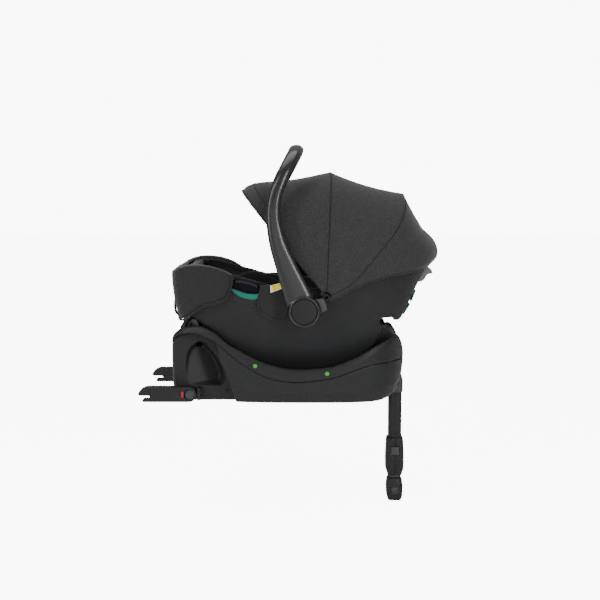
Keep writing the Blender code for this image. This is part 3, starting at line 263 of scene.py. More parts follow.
def modify(obj, kind, **values):
    modifier = obj.modifiers.new(kind.lower(), kind)
    for key, value in values.items():
        setattr(modifier, key, value)
    return modifier


def settle(obj, sharp=None):
    """Apply every modifier, so that the mesh is what is seen."""
    mesh = mesh_of(obj)
    obj.modifiers.clear()
    obj.data = mesh
    mesh.shade_smooth()
    if sharp:
        mesh.set_sharp_from_angle(angle=math.radians(sharp))
    return obj


def boolean(target, operation, *others):
    for other in others:
        modify(target, "BOOLEAN", operation=operation, object=other)
        settle(target)
        bpy.data.objects.remove(other)
    return target


def cut(target, *others):
    return boolean(target, "DIFFERENCE", *others)


def join(target, *others):
    return boolean(target, "UNION", *others)


def keep_within(target, other):
    return boolean(target, "INTERSECT", other)


def moulded(obj, voxel, passes):
    """Round a hard form's edges as a moulding's are: a fine remesh, then a little smoothing."""
    modify(obj, "REMESH", mode="VOXEL", voxel_size=voxel * 1.0)
    modify(obj, "SMOOTH", factor=0.5, iterations=passes)
    return settle(obj)


def level_ring(z, x0, x1, half, inset, feet):
    """A rounded level section of the carrier, moved in by inset."""
    cx, a, b = (x0 + x1) / 2, (x1 - x0) / 2 - inset, half - inset
    ring = []
    for k in range(96):
        angle = 2 * math.pi * (k + 0.5) / 96
        c, s = math.cos(angle), math.sin(angle)
        power = 2 / (HEAD_ROUNDNESS if c > 0 else feet)
        ring.append((cx + a * math.copysign(abs(c) ** power, c), b * math.copysign(abs(s) ** power, s), z))
    return ring


def level_at(z, inset):
    """The level section at z: middle x, half-length and half-width."""
    x0, x1, half = (height_on([(level[0], level[k]) for level in SEAT_LEVELS], z) for k in (1, 2, 3))
    return (x0 + x1) / 2, (x1 - x0) / 2 - inset, half - inset


def flank_y(x, z, inset=0.0, feet=FEET_ROUNDNESS):
    """The half-width of the carrier's form at x and z, moved in by inset."""
    cx, a, b = level_at(z, inset)
    power = HEAD_ROUNDNESS if x > cx else feet
    return b * (1 - min(1.0, abs(x - cx) / a) ** power) ** (1 / power)


def feet_x(y, z, inset=0.0, feet=FEET_ROUNDNESS):
    """X of the carrier's form at the feet end, at y and z."""
    cx, a, b = level_at(z, inset)
    return cx - a * (1 - min(1.0, abs(y) / b) ** feet) ** (1 / feet)


def bucket(name, inset, outline, feet=FEET_ROUNDNESS):
    """The part of a side-view slab that lies inside the carrier's rounded form, moved in by inset."""
    rings = [level_ring(*level, inset, feet) for level in curve_through(SEAT_LEVELS, 4)]
    return keep_within(loft(name, rings), plate("slab", outline, -0.240, 0.240))


def core(inset):
    """All of the carrier's rounded form, moved in by inset."""
    return bucket("core", inset, mm((-100, 0), (700, 0), (700, 500), (-100, 500)))


def flank_patch(name, s, outline, out, back):
    """A patch that follows one flank of the carrier, out to one inset and back to another."""
    patch = bucket(name, out, outline)
    keep_within(patch, block("side", (0.05, s * 0.100, 0.15), (0.290, s * 0.240, 0.32)))
    return cut(patch, core(back))


def open_top(line):
    """A bowl's line carried straight up past the rim."""
    return [(line[0][0], 0.426), *line, (line[-1][0], 0.426)]


# ---- materials ------------------------------------------------------------------------------------------
class Nodes:
    """A short way to write a material's node tree."""

    def __init__(self, name):
        self.material = bpy.data.materials.new(name)
        self.material.use_nodes = True
        self.tree = self.material.node_tree
        self.shader = self.tree.nodes["Principled BSDF"]
        self.place = self.put("ShaderNodeTexCoord", "Object", {})

    def feed(self, node, inputs):
        """Set each input of a node, or link it to the socket that is given."""
        for key, value in inputs.items():
            if isinstance(value, bpy.types.NodeSocket):
                self.tree.links.new(value, node.inputs[key])
            else:
                node.inputs[key].default_value = value

    def put(self, kind, output, inputs, **values):
        node = self.tree.nodes.new(kind)
        for key, value in values.items():
            setattr(node, key, value)
        self.feed(node, inputs)
        return node.outputs[output]

    def set(self, **inputs):
        self.feed(self.shader, {key.replace("_", " "): value for key, value in inputs.items()})

    def stretched(self, scale):
        return self.put("ShaderNodeMapping", "Vector", {"Vector": self.place, "Scale": scale})

    def noise(self, scale, detail=4.0, roughness=0.6, vector=None):
        return self.put("ShaderNodeTexNoise", "Fac", {"Vector": vector or self.place, "Scale": scale,
                                                      "Detail": detail, "Roughness": roughness})

    def wave(self, axis, scale):
        inputs = {"Vector": self.place, "Scale": scale, "Distortion": 0.6}
        return self.put("ShaderNodeTexWave", "Fac", inputs, bands_direction=axis)

    def ramp(self, value, low, high, at=(0.35, 0.65)):
        node = self.tree.nodes.new("ShaderNodeValToRGB")
        for stop, colour, place in zip(node.color_ramp.elements, (low, high), at):
            stop.color = (*colour, 1.0)
            stop.position = place
        self.feed(node, {"Fac": value})
        return node.outputs["Color"]

    def spread(self, value, low, high):
        return self.put("ShaderNodeMapRange", "Result", {"Value": value, "To Min": low, "To Max": high})

    def maths(self, operation, a, b):
        return self.put("ShaderNodeMath", "Value", {0: a, 1: b}, operation=operation)

    def bump(self, height, strength, distance, **base):
        inputs = {"Height": height, "Strength": strength, "Distance": distance, **base}
        return self.put("ShaderNodeBump", "Normal", inputs)


def tint(colour, by):
    return tuple(min(1.0, c * by) for c in colour)


def plastic(name, colour, roughness, grain=0.25, wear=0.04, shine=0.30):
    """Moulded plastic: spark-eroded grain, faint flow marks and a little handling wear."""
    n = Nodes(name)
    fine = n.noise(1900.0, 3.0, 0.7)
    broad = n.noise(9.0, 4.0, 0.55)
    rough = n.maths("ADD", n.spread(fine, roughness - 0.05, roughness + 0.05), n.spread(broad, -wear, wear))
    n.set(Base_Color=n.ramp(broad, tint(colour, 0.93), tint(colour, 1.07)), Roughness=rough,
          Normal=n.bump(fine, grain, 0.00012), Specular_IOR_Level=shine)
    return n.material


def metal(name, colour, roughness):
    n = Nodes(name)
    drawn = n.noise(60.0, 6.0, 0.65, n.stretched((30.0, 1.0, 30.0)))
    n.set(Base_Color=n.ramp(drawn, tint(colour, 0.88), tint(colour, 1.08)), Metallic=1.0,
          Roughness=n.spread(drawn, roughness - 0.06, roughness + 0.08), Normal=n.bump(drawn, 0.12, 0.00008))
    return n.material


def fabric(name, low, high, thread=0.0007, heather=260.0, fuzz=0.35):
    """Woven cloth: two thread directions, heathered yarn and a soft sheen."""
    n = Nodes(name)
    across = n.wave("X", 1.0 / thread / 6.283)
    along = n.wave("Z", 1.0 / thread / 6.283)
    sideways = n.wave("Y", 1.0 / thread / 6.283)
    weave = n.maths("MAXIMUM", n.maths("MULTIPLY", across, along), n.maths("MULTIPLY", sideways, along))
    yarn = n.noise(heather, 5.0, 0.75)
    slub = n.noise(heather * 2.2, 4.0, 0.7, n.stretched((1.0, 1.0, 0.22)))
    mixed = n.maths("ADD", n.maths("MULTIPLY", yarn, 0.55), n.maths("MULTIPLY", slub, 0.45))
    height = n.maths("ADD", n.maths("MULTIPLY", weave, 0.7), n.maths("MULTIPLY", slub, 0.5))
    soft = n.bump(n.noise(38.0, 3.0, 0.5), 0.12, 0.0016)
    n.set(Base_Color=n.ramp(mixed, low, high, (0.42, 0.58)), Roughness=n.spread(yarn, 0.82, 0.97),
          Normal=n.bump(height, 0.45, 0.00035, Normal=soft), Specular_IOR_Level=0.22,
          Sheen_Weight=fuzz, Sheen_Roughness=0.45, Sheen_Tint=(0.75, 0.76, 0.80, 1.0))
    return n.material


def webbing(name, colour):
    n = Nodes(name)
    ribs = n.wave("Y", 1.0 / 0.0016 / 6.283)
    cross = n.wave("Z", 1.0 / 0.0009 / 6.283)
    pattern = n.maths("MULTIPLY", ribs, cross)
    n.set(Base_Color=n.ramp(pattern, tint(colour, 0.7), tint(colour, 1.3), (0.1, 0.8)), Roughness=0.7,
          Normal=n.bump(pattern, 0.5, 0.0004), Sheen_Weight=0.25)
    return n.material


SHELL = plastic("satin_shell", (0.0140, 0.0140, 0.0150), 0.50, shine=0.17)
BASE = plastic("satin_base", (0.0140, 0.0142, 0.0152), 0.46, shine=0.19)
HANDLE = plastic("satin_handle", (0.0105, 0.0106, 0.0112), 0.28, grain=0.12, shine=0.45)
GLOSS = plastic("gloss_trim", (0.006, 0.006, 0.0065), 0.30, grain=0.05)
SOFT_GREY = plastic("touch_grey", (0.036, 0.037, 0.039), 0.48)
PALE_GREY = plastic("pale_grey", (0.115, 0.115, 0.118), 0.45)
TEAL = plastic("guide_teal", (0.0001, 0.118, 0.084), 0.62)
LIT_GREEN = plastic("lit_green", (0.030, 0.330, 0.022), 0.32, grain=0.05)
# the slot insert's navy, darkened near to black: painted shade of the deep belt path inside the slot
NAVY_WITH_PAINTED_SHADE = plastic("slot_navy_painted_shade", (0.0016, 0.0019, 0.0050), 0.75, shine=0.12)
RED = plastic("marker_red", (0.420, 0.010, 0.012), 0.4)
STEEL = metal("bright_steel", (0.56, 0.56, 0.57), 0.28)
DARK_STEEL = metal("painted_steel", (0.085, 0.085, 0.09), 0.38)
RUBBER = plastic("sole_rubber", (0.014, 0.014, 0.0145), 0.8, grain=0.5)
FOAM = plastic("liner_foam", (0.055, 0.055, 0.058), 0.9, grain=0.9)
SEAT_CLOTH = fabric("seat_cloth", (0.0130, 0.0130, 0.0133), (0.0190, 0.0190, 0.0194), heather=700.0, fuzz=0.2)
CANOPY_CLOTH = fabric("canopy_cloth", (0.0110, 0.0110, 0.0114), (0.0375, 0.0378, 0.0386), heather=520.0,
                      fuzz=0.2)
PIPING = fabric("piping_cloth", (0.011, 0.011, 0.0115), (0.018, 0.018, 0.0188), thread=0.0005, heather=800.0,
                fuzz=0.2)
CANOPY_SEAM = fabric("canopy_seam", (0.006, 0.006, 0.0065), (0.012, 0.012, 0.0125), thread=0.0005, fuzz=0.1)
STRAP = webbing("strap_webbing", (0.016, 0.016, 0.017))
LABEL_WHITE = fabric("label_white", (0.70, 0.70, 0.68), (0.82, 0.82, 0.80), fuzz=0.0)
LABEL_YELLOW = fabric("label_yellow", (0.72, 0.58, 0.012), (0.82, 0.70, 0.030), fuzz=0.0)


def dress(piece, material, body, *nodes):
    """Give a piece its material and its body, and say which CAD nodes it stands for."""
    piece.data.materials.clear()
    piece.data.materials.append(material)
    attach(piece, body)
    if nodes:
        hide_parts(*nodes)
    return piece


def upholster(piece, fill, *nodes, body="carrier"):
    """A padded piece of the seat's cover."""
    dress(piece, SEAT_CLOTH, body, *nodes)


def paint(material, *names):
    """A CAD node whose shape is right gets a better material."""
    for name in names:
        for holder in frame["nodes"][name].material_slots:
            holder.material = material


# ---- base -----------------------------------------------------------------------------------------------
def base_stations():
    return (list(np.linspace(BASE_REAR, -0.012, 14)) + list(np.linspace(-0.006, 0.464, 76))
            + list(np.linspace(0.470, BASE_FRONT, 22)))


def both_sides(half):
    return [*half, *[(-y, z) for y, z in reversed(half)]]


def around(outline, count, centre=(0.026, 0.080)):
    """An outline's points at even angles about a centre inside it."""
    co = np.array(outline) - centre
    angle = np.arctan2(co[:, 1], co[:, 0])
    order = np.argsort(angle)
    angle, co = angle[order], co[order]
    reach = np.hypot(co[:, 0], co[:, 1])
    at = np.linspace(-math.pi, math.pi, count, endpoint=False)
    r = np.interp(at, angle, reach, period=2 * math.pi)
    return [(centre[0] + float(d * math.cos(a)), centre[1] + float(d * math.sin(a))) for a, d in zip(at, r)]


def base_lower_housing():
    rings = []
    inside = []
    for x in base_stations():
        w = height_on(BASE_HALF_WIDTH, x)
        top = height_on(SEAM_LINE, x) - PARTING / 3
        low = float(np.interp(x, *zip(*BASE_FOOT)))
        edge = min(0.016, w / 4)
        half = [(w - 0.008 - edge, low)]
        half += [(w - 0.008 - edge + edge * math.sin(a), low + edge * (1 - math.cos(a)))
                 for a in np.radians((22, 45, 68, 90))]
        half += [(w - 0.0035, max(low + edge + 0.001, 0.4 * top)),
                 (w - 0.001, max(low + edge + 0.002, 0.75 * top)), (w, top)]
        rings.append([(x, y, z) for y, z in both_sides(half)])
        if 0.130 < x < 0.474:
            inner = [(w - 0.016, 0.030), (w - 0.012, 0.300)]
            inside.append([(x, y, z) for y, z in both_sides(inner)])
    housing = loft("lower_housing", rings)
    cut(housing, loft("inside", inside))
    flank = [(-0.064, -0.010), (0.114, -0.010), *curve_through(mm((112, 4), (108, 20), (98, 48), (83, 85),
                                                                  (72, 116), (66, 200)), 5), (-0.064, 0.200)]
    pocket = curve_through(mm((22, 143), (4, 130), (-6, 110), (-9, 76), (-3, 47), (8, 38), (72, 37), (83, 42),
                              (85, 60), (70, 98), (46, 130), (32, 142), (22, 143)), 5)[:-1]
    for _side, s in SIDES:
        cut(housing, plate("flank", flank, s * REAR_FLANK, s * 0.230))
        mouth = around(pocket, 72)
        rings = [[(x, s * y, z) for x, z in mouth] for y in (0.240, 0.121)]
        rings.append([(0.80 * x + 0.0022, s * (0.1268 - 0.30 * x - 0.16 * z), 0.84 * z + 0.0128)
                      for x, z in mouth])
        cut(housing, loft("pocket", rings))
    cut(housing, plate("light_gap", rounded_box_outline(0.014, 0.128, 0.027, 0.139, 0.003), -0.16, 0.16))
    channel = [(0.036, -0.010), (0.540, -0.010), (0.540, CHANNEL_ROOF), (0.046, CHANNEL_ROOF), (0.036, 0.050)]
    cut(housing, plate("channel", channel, -CHANNEL_HALF, CHANNEL_HALF))
    tray = between(raised(curve_through(TRAY_FLOOR), -0.0065), -0.034, 0.134)
    cut(housing, plate("tray", tray + [(tray[-1][0], 0.300), (tray[0][0], 0.300)], -0.118, 0.118))
    for _side, s in SIDES:
        cheek = arc(*LEG_PIVOT, 0.0115, -180, 0, 12)
        cheek += [(LEG_PIVOT[0] + 0.009, 0.055), (LEG_PIVOT[0] - 0.020, 0.055)]
        join(housing, plate("cheek", cheek, s * 0.0352, s * 0.0465))
    dress(moulded(housing, 0.0020, 6), BASE, "base", "base_lower_housing")


def base_upper_cover():
    rings = []
    stations = base_stations()
    t = 0.004
    for x in stations:
        w = height_on(BASE_HALF_WIDTH, x)
        rim = height_on(RIM_LINE, x)
        seam = height_on(SEAM_LINE, x) + PARTING / 3
        floor = min(height_on(TRAY_FLOOR, x), rim - 0.009)
        tunnel = max(TUNNEL_TOP, floor)
        lip = min(0.016, w / 5)
        inner = w - lip - 0.006
        k = min(1.0, inner / 0.080)
        roll = curve_through([(w - lip - 0.001, max(rim - 0.012, floor + 0.001)),
                              (w - lip * 0.80, rim - 0.003), (w - lip * 0.45, rim),
                              (w - lip * 0.12, rim - 0.005), (w + 0.0005, rim - 0.016)], 3)
        outer = [(0.042 * k, tunnel), (0.050 * k, floor), (inner - 0.016 * k, floor),
                 (inner - 0.005 * k, floor + 0.004 * k), *roll, (w, (seam + rim) / 2 - 0.004), (w, seam)]
        under = [(w - t, seam), (w - t, max(rim - 0.020, seam + 0.0005)), (w - lip * 0.6, rim - 0.010),
                 (inner, floor + 0.001), (inner - 0.014 * k, floor - t), (0.048 * k, floor - t),
                 (0.040 * k, tunnel - t)]
        if x < -0.026 or x > 0.510:
            under = [(y, seam) for y, z in under]
        rings.append([(x, y, z) for y, z in [*[(-y, z) for y, z in reversed(outer)], *outer, *under,
                                             *[(-y, z) for y, z in reversed(under)]]])
    cover = loft("upper_cover", rings)
    for x, z in ((0.068, 0.166), (0.412, 0.111)):
        for _side, s in SIDES:
            low = height_on(TRAY_FLOOR, x) - 0.002
            join(cover, block("lug", (x - 0.0065, s * 0.098, low), (x + 0.0065, s * 0.109, z + 0.002)))
    dress(moulded(cover, 0.0017, 5), BASE, "base", "base_upper_cover")
    outer = mm((-17, 164), (-16, 178), (-10, 190), (2, 197.5), (14, 195), (21, 186), (22.5, 164))
    inner = mm((-12, 171), (-11, 177), (-6, 186), (3, 192.5), (11, 190), (16.5, 183), (17.5, 171))
    arch = plate("docking_arch", curve_through(outer, 5), -0.080, 0.080)
    cut(arch, plate("room", curve_through(inner, 5), -0.090, 0.090))
    dress(moulded(arch, 0.0012, 4), GLOSS, "base", "base_upper_cover")
    for side, s in SIDES:
        y = s * (REAR_FLANK + 0.0005)
        screw = cylinder("screw", 0.0878, 0.0227, 0.0042, y, y + s * 0.0012, 20, 0.0034)
        cut(screw, cylinder("drive", 0.0878, 0.0227, 0.0017, y + s * 0.0004, y + s * 0.004, 6))
        dress(screw, BASE, "base")
        guard = block(f"arm_guard_{side}", (0.0200, s * 0.119, 0.0045), (0.0280, s * 0.1530, 0.0335))
        for z in np.linspace(0.008, 0.030, 5):
            join(guard, block("rib", (0.0212, s * 0.150, z - 0.0014), (0.0288, s * 0.1548, z + 0.0014)))
        dress(moulded(guard, 0.0010, 2), BASE, "base", "base_lower_housing")


# ---- carrier --------------------------------------------------------------------------------------------
def shell_outline():
    notch = mm((452.5, 148), (455, 159), (471, 172), (475.5, 181), (472, 186))
    notch += arc(0.4645, 0.1925, 0.0085, -45, -262, 10)
    heel = mm((489, 201), (491.5, 193), (505, 192.5), (511.5, 199))
    return curve_through(ROCKER) + notch + heel + [(0.577, 0.332)] + curve_through(SEAT_RIM)[1:]


def seat_shell():
    shell = bucket("carrier_shell", 0.0, shell_outline())
    for _side, s in SIDES:
        join(shell, cylinder("boss", *HUB, 0.033, s * 0.150, s * (HUB_IN - 0.0008), r_end=0.029))
        join(shell, cylinder("canopy_boss", *CANOPY_PIVOT, 0.012, s * 0.150, s * 0.1733))
    cut(shell, bucket("hollow", SEAT_WALL, open_top(offset(CAVITY, 0.0))))
    channel = [(-0.064, 0.000), (0.466, 0.000), (0.466, TUNNEL_TOP + 0.005), (-0.064, TUNNEL_TOP + 0.005)]
    cut(shell, plate("channel", channel, -0.054, 0.054))
    for x, z in ((0.068, 0.166), (0.412, 0.111)):
        slot = [(x - 0.007, z - 0.050), (x + 0.007, z - 0.050), *arc(x, z, 0.007, 0, 180, 10)]
        cut(shell, plate("slot", slot, -0.116, 0.116))
    slot = curve_through(mm((103, 284), (110, 298), (132, 297.5), (152, 292), (168, 284), (172, 274),
                            (168, 264), (150, 263), (124, 268), (104, 276)), 3)
    for _side, s in SIDES:
        cut(shell, plate("belt_slot", slot, s * 0.150, s * 0.200))
    dress(moulded(shell, 0.0026, 5), SHELL, "carrier", "seat_shell")


def carry_handle():
    path = curve_through(HANDLE_LINE, 6)
    half = []
    for k, (x, y, z, depth, thick) in enumerate(path):
        a, b = path[max(k - 1, 0)], path[min(k + 1, len(path) - 1)]
        along = Vector((b[0] - a[0], -(b[1] - a[1]), b[2] - a[2])).normalized() if k else Vector((0, -1, 0))
        across = (Vector((1, 0, 0)) - along * along.x).normalized()
        other = along.cross(across)
        half.append([Vector((x, -y, z)) + across * (depth / 2 * c) + other * (thick / 2 * d)
                     for c, d in soft_round(40)])
    far = [[Vector((p.x, -p.y, p.z)) for p in ring] for ring in half[:0:-1]]
    handle = loft("handle_bow", far + half)
    for side, s in SIDES:
        join(handle, cylinder("hub", *HUB, HUB_R, s * HUB_IN, s * (HUB_OUT - 0.003), 96))
        join(handle, cylinder("hub_lip", *HUB, HUB_R, s * (HUB_OUT - 0.0031), s * HUB_OUT, 96, HUB_R - 0.003))
        cut(handle, cylinder("recess", *HUB, 0.0310, s * 0.2172, s * 0.230, 96))
        cut(handle, cylinder("bore", *HUB, 0.0103, s * 0.190, s * 0.2125))
    dress(moulded(handle, 0.0017, 9), HANDLE, "handle", "carry_handle")


def soft_round(count):
    """Points of a slightly squared circle, as a moulded grip's section is."""
    made = []
    for t in np.linspace(0, 2 * math.pi, count, endpoint=False):
        made.append(tuple(math.copysign(abs(v) ** 0.94, v) for v in (math.cos(t), math.sin(t))))
    return made


def refined(node, material, width=0.0010, segments=2):
    """A CAD piece made again with rounded edges."""
    source = frame["nodes"][node]
    body = next(name for name, nodes in frame["record"]["behaviour"]["bodies"].items() if node in nodes)
    bm = bmesh.new()
    bm.from_mesh(source.data)
    bmesh.ops.remove_doubles(bm, verts=bm.verts, dist=0.00002)
    bmesh.ops.dissolve_limit(bm, angle_limit=math.radians(1.5), verts=bm.verts, edges=bm.edges)
    made = from_bmesh(f"{node}_moulding", bm)
    modify(made, "BEVEL", width=width, segments=segments, limit_method="ANGLE", angle_limit=math.radians(38))
    settle(made, 40)
    return dress(made, material, body, node)


def knob(side, s):
    """The arm's round release knob, ringed, and the red strip that shows beside it."""
    x, z = 0.0022, 0.0185
    y0, y1 = sorted(abs(v[1]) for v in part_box(f"isofix_button_{side}"))
    made = cylinder(f"release_knob_{side}", x, z, 0.0112, s * y0, s * (y1 - 0.0016), 64)
    join(made, cylinder("dome", x, z, 0.0078, s * (y1 - 0.0030), s * y1, 64, 0.0064))
    for k in range(12):
        a = 2 * math.pi * k / 12
        cut(made, cylinder("grip", x + 0.0112 * math.cos(a), z + 0.0112 * math.sin(a), 0.0012,
                           s * (y0 - 0.001), s * (y1 + 0.001), 12))
    made.data.set_sharp_from_angle(angle=math.radians(40))
    dress(made, SOFT_GREY, f"isofix_release_{side}", f"isofix_button_{side}")
    outer = max(abs(v[1]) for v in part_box(f"isofix_arm_{side}"))
    strip = block(f"red_marker_{side}", (-0.0178, s * (outer - 0.001), 0.0105),
                  (-0.0128, s * (outer + 0.0005), 0.0262))
    dress(strip, RED, f"isofix_{side}")


def hard_pieces():
    for side, s in SIDES:
        for node, material, width in (
                ("isofix_arm", BASE, 0.0014), ("leg_button", SOFT_GREY, 0.0006),
                ("handle_button", SOFT_GREY, 0.0016), ("handle_hub_cover", SHELL, 0.0010),
                ("indicator_rear", LIT_GREEN, 0.0008), ("indicator_front", LIT_GREEN, 0.0008)):
            refined(f"{node}_{side}", material, width)
        refined(f"isofix_jaw_{side}", STEEL, 0.0004, 1)
        knob(side, s)
        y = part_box("leg_foot")[1][1]
        catch = plate(f"foot_catch_{side}", rounded_box_outline(0.4965, -0.2590, 0.5145, -0.2415, 0.003),
                      s * (y - 0.004), s * (y + 0.0006))
        dress(catch, SOFT_GREY, "leg_extension")
    for node, material, width in (
            ("leg_outer_tube", BASE, 0.0006), ("leg_top_bracket", SOFT_GREY, 0.0008),
            ("leg_clamp_rear_half", BASE, 0.0008), ("leg_clamp_front_half", BASE, 0.0008),
            ("leg_foot", BASE, 0.0012), ("foot_sole", RUBBER, 0.0008),
            ("shoulder_belt_guide_lower", TEAL, 0.0012), ("shoulder_belt_guide_upper", TEAL, 0.0012),
            ("buckle", SHELL, 0.0010), ("buckle_button", RED, 0.0008)):
        refined(node, material, width)
    refined("release_handle", PALE_GREY, 0.0016, 3)
    paint(STEEL, "isofix_cross_tube", "docking_bar_rear", "docking_bar_front", "leg_pivot_pin")
    paint(DARK_STEEL, "leg_inner_tube", "frame_rail_left", "frame_rail_right")
    paint(FOAM, "foam_liner")
    paint(SHELL, "canopy_front_bow", "canopy_middle_bow", "canopy_rear_bow")


# ---- soft goods -----------------------------------------------------------------------------------------
def stuffed(obj, seams, cap, voxel=0.0048, pressure=4.0):
    """Pad a closed piece: blown up as cloth for a moment, held down along its seams."""
    modify(obj, "REMESH", mode="VOXEL", voxel_size=voxel * 1.0)
    modify(obj, "SMOOTH", iterations=3)
    settle(obj)
    mesh = obj.data
    start = np.array([v.co for v in mesh.vertices])
    lines = np.array(seams)
    held = obj.vertex_groups.new(name="held")
    for k, co in enumerate(start):
        if np.min(np.sum((lines - co) ** 2, axis=1)) < 0.0058 ** 2:
            held.add([k], 1.0, "REPLACE")
    cloth = modify(obj, "CLOTH")
    cloth.settings.use_pressure = True
    cloth.settings.uniform_pressure_force = pressure
    cloth.settings.quality = 4
    cloth.settings.effector_weights.gravity = 0.0
    cloth.settings.vertex_group_mass = "held"
    cloth.collision_settings.use_collision = False
    cloth.point_cache.frame_start, cloth.point_cache.frame_end = 1, 20
    for f in range(1, 21):
        bpy.context.scene.frame_set(f)
    blown = mesh_of(obj)
    shift = np.array([v.co for v in blown.vertices]) - start
    length = np.linalg.norm(shift, axis=1)
    shift *= (np.minimum(length, cap) / np.maximum(length, 1e-9))[:, None]
    obj.modifiers.clear()
    obj.vertex_groups.clear()
    for vertex, co in zip(mesh.vertices, start + shift):
        vertex.co = co
    bpy.data.meshes.remove(blown)
    bpy.context.scene.frame_set(1)
    modify(obj, "SUBSURF", levels=1, render_levels=1)
    modify(obj, "SMOOTH", iterations=2)
    return settle(obj)


def on_both(half):
    """A line of points given at +Y, carried on round to -Y."""
    return [*half, *[(x, -y, z) for x, y, z in reversed(half)]]


def fine(points, gap=0.003):
    """Points close together along a polyline."""
    made = []
    for a, b in zip(points, points[1:]):
        count = max(1, int(math.dist(a, b) / gap))
        made += [tuple(Vector(a).lerp(Vector(b), k / count)) for k in range(count)]
    return made + [tuple(points[-1])]


WRAP_EDGE = mm((107.5, 306), (106, 291.5), (102, 275.5), (96.8, 260.5), (90.5, 251.5), (80.5, 245.2),
               (60, 238.8), (38, 233.8), (26.2, 226.2), (12, 215.5), (-1, 206.5), (-10, 200))
WRAP_FEET = 6.5  # the skirt is squarer than the shell
WRAP_TOP = mm((-37, 312), (-27, 320), (-10, 326.8), (8, 330.2), (28, 330.7), (51, 328.4), (71.5, 323.2),
              (92, 315.8), (103, 309))


def foot_wrap():
    """The padded skirt round the carrier's feet end, with piping along its edges."""
    edge = curve_through(WRAP_EDGE, 5)
    top = curve_through(WRAP_TOP, 5)
    outline = edge + mm((-19, 196.8), (-60, 196), (-60, 310.5)) + top
    wrap = bucket("foot_wrap", -0.0078, outline, WRAP_FEET)
    inside = offset(ROCKER, -0.0008) + [(0.470, 0.206)] + curve_through(raised(SEAT_RIM, 0.001))
    cut(wrap, bucket("shell_room", -0.0008, inside))
    cut(wrap, core(0.0200))
    cut(wrap, block("arch_room", (-0.070, -0.086, 0.180), (0.040, 0.086, 0.2080)))
    side = [(x, flank_y(x, z, -0.0086, WRAP_FEET), z) for x, z in edge]
    hem = [(feet_x(y, z, -0.0086, WRAP_FEET), y, z) for y, z in
           curve_through(mm((150, 197.5), (130, 196.8), (108, 196.8), (94, 199), (84, 207.5), (70, 209),
                            (35, 209), (0, 209)), 5)]
    lower = on_both(side + hem[2:])
    brow = [(x, flank_y(x, z - 0.004, -0.0070, WRAP_FEET), z - 0.004) for x, z in top[::-1] if x > -0.022]
    brow += [(feet_x(y, 0.309, -0.0052, WRAP_FEET), y, 0.3095) for y in np.linspace(0.156, 0.0, 24)]
    upper = on_both(brow)
    middle = [(feet_x(y, z, -0.0080, WRAP_FEET), y, z) for y in (-0.152, 0.152)
              for z in np.linspace(0.21, 0.31, 30)]
    stuffed(wrap, fine(lower) + fine(upper) + middle, 0.0045)
    upholster(wrap, 0.55, "cover_foot_wrap")
    for name, line, radius in (("wrap_piping_lower", lower, 0.0026), ("wrap_piping_upper", upper, 0.0022)):
        dress(tube(name, line, radius, 10), PIPING, "carrier")


def side_flaps():
    """The padded flaps between the belt slots and the hubs, and the blank label by the near one."""
    outline = curve_through(mm((173, 268), (168.5, 252.5), (167.2, 237), (172.8, 222), (185.5, 210.5),
                               (203.4, 203), (223.5, 201), (232.5, 214), (237.5, 232), (238.5, 250)), 4)
    top = mm((238.5, 274), (222, 279.5), (201, 284.5), (186, 283.5), (175.5, 283.5))
    for side, s in SIDES:
        flap = flank_patch(f"side_flap_{side}", s, outline + curve_through(top, 4), -0.0062, -0.0006)
        edge = [(x, s * flank_y(x, z, -0.0060), z) for x, z in [top[-1], *outline]]
        upholster(moulded(flap, 0.0016, 5), 0.4, f"cover_flap_{side}")
        dress(tube(f"flap_piping_{side}", curve_through(edge, 2), 0.0027, 10), PIPING, "carrier")
    strip = curve_through(mm((86, 252), (101, 248.8), (126.7, 240.3), (152.2, 231.3), (169, 225)), 4)
    strip += mm((172, 256), (150, 262), (100, 278), (86, 262))
    for side, s in SIDES:
        upholster(flank_patch(f"side_strip_{side}", s, strip, -0.0022, -0.0003), 0.2)
    corners = mm((196, 283.4), (218.9, 288.8), (223.4, 275.8), (197.2, 266.1))
    label("tag_border", corners, 0.0080, LABEL_WHITE)
    inner = mm((198.5, 283.2), (219.2, 288.2), (223.2, 277.4), (199.4, 269))
    label("tag_face", inner, 0.0087, LABEL_YELLOW)


def label(name, corners, out, material):
    """A small woven label that follows the near flank; corners run round it."""
    rows = []
    for u in np.linspace(0, 1, 9):
        a = Vector(corners[0]).lerp(Vector(corners[1]), u)
        b = Vector(corners[3]).lerp(Vector(corners[2]), u)
        across = [a.lerp(b, v) for v in np.linspace(0, 1, 6)]
        rows.append([(p.x, -flank_y(p.x, p.y, -out) - 0.0004 * math.sin(9 * u), p.y) for p in across])
    made = grid(name, rows)
    modify(made, "SOLIDIFY", thickness=0.0006, offset=0.0)
    dress(settle(made, 40), material, "carrier")


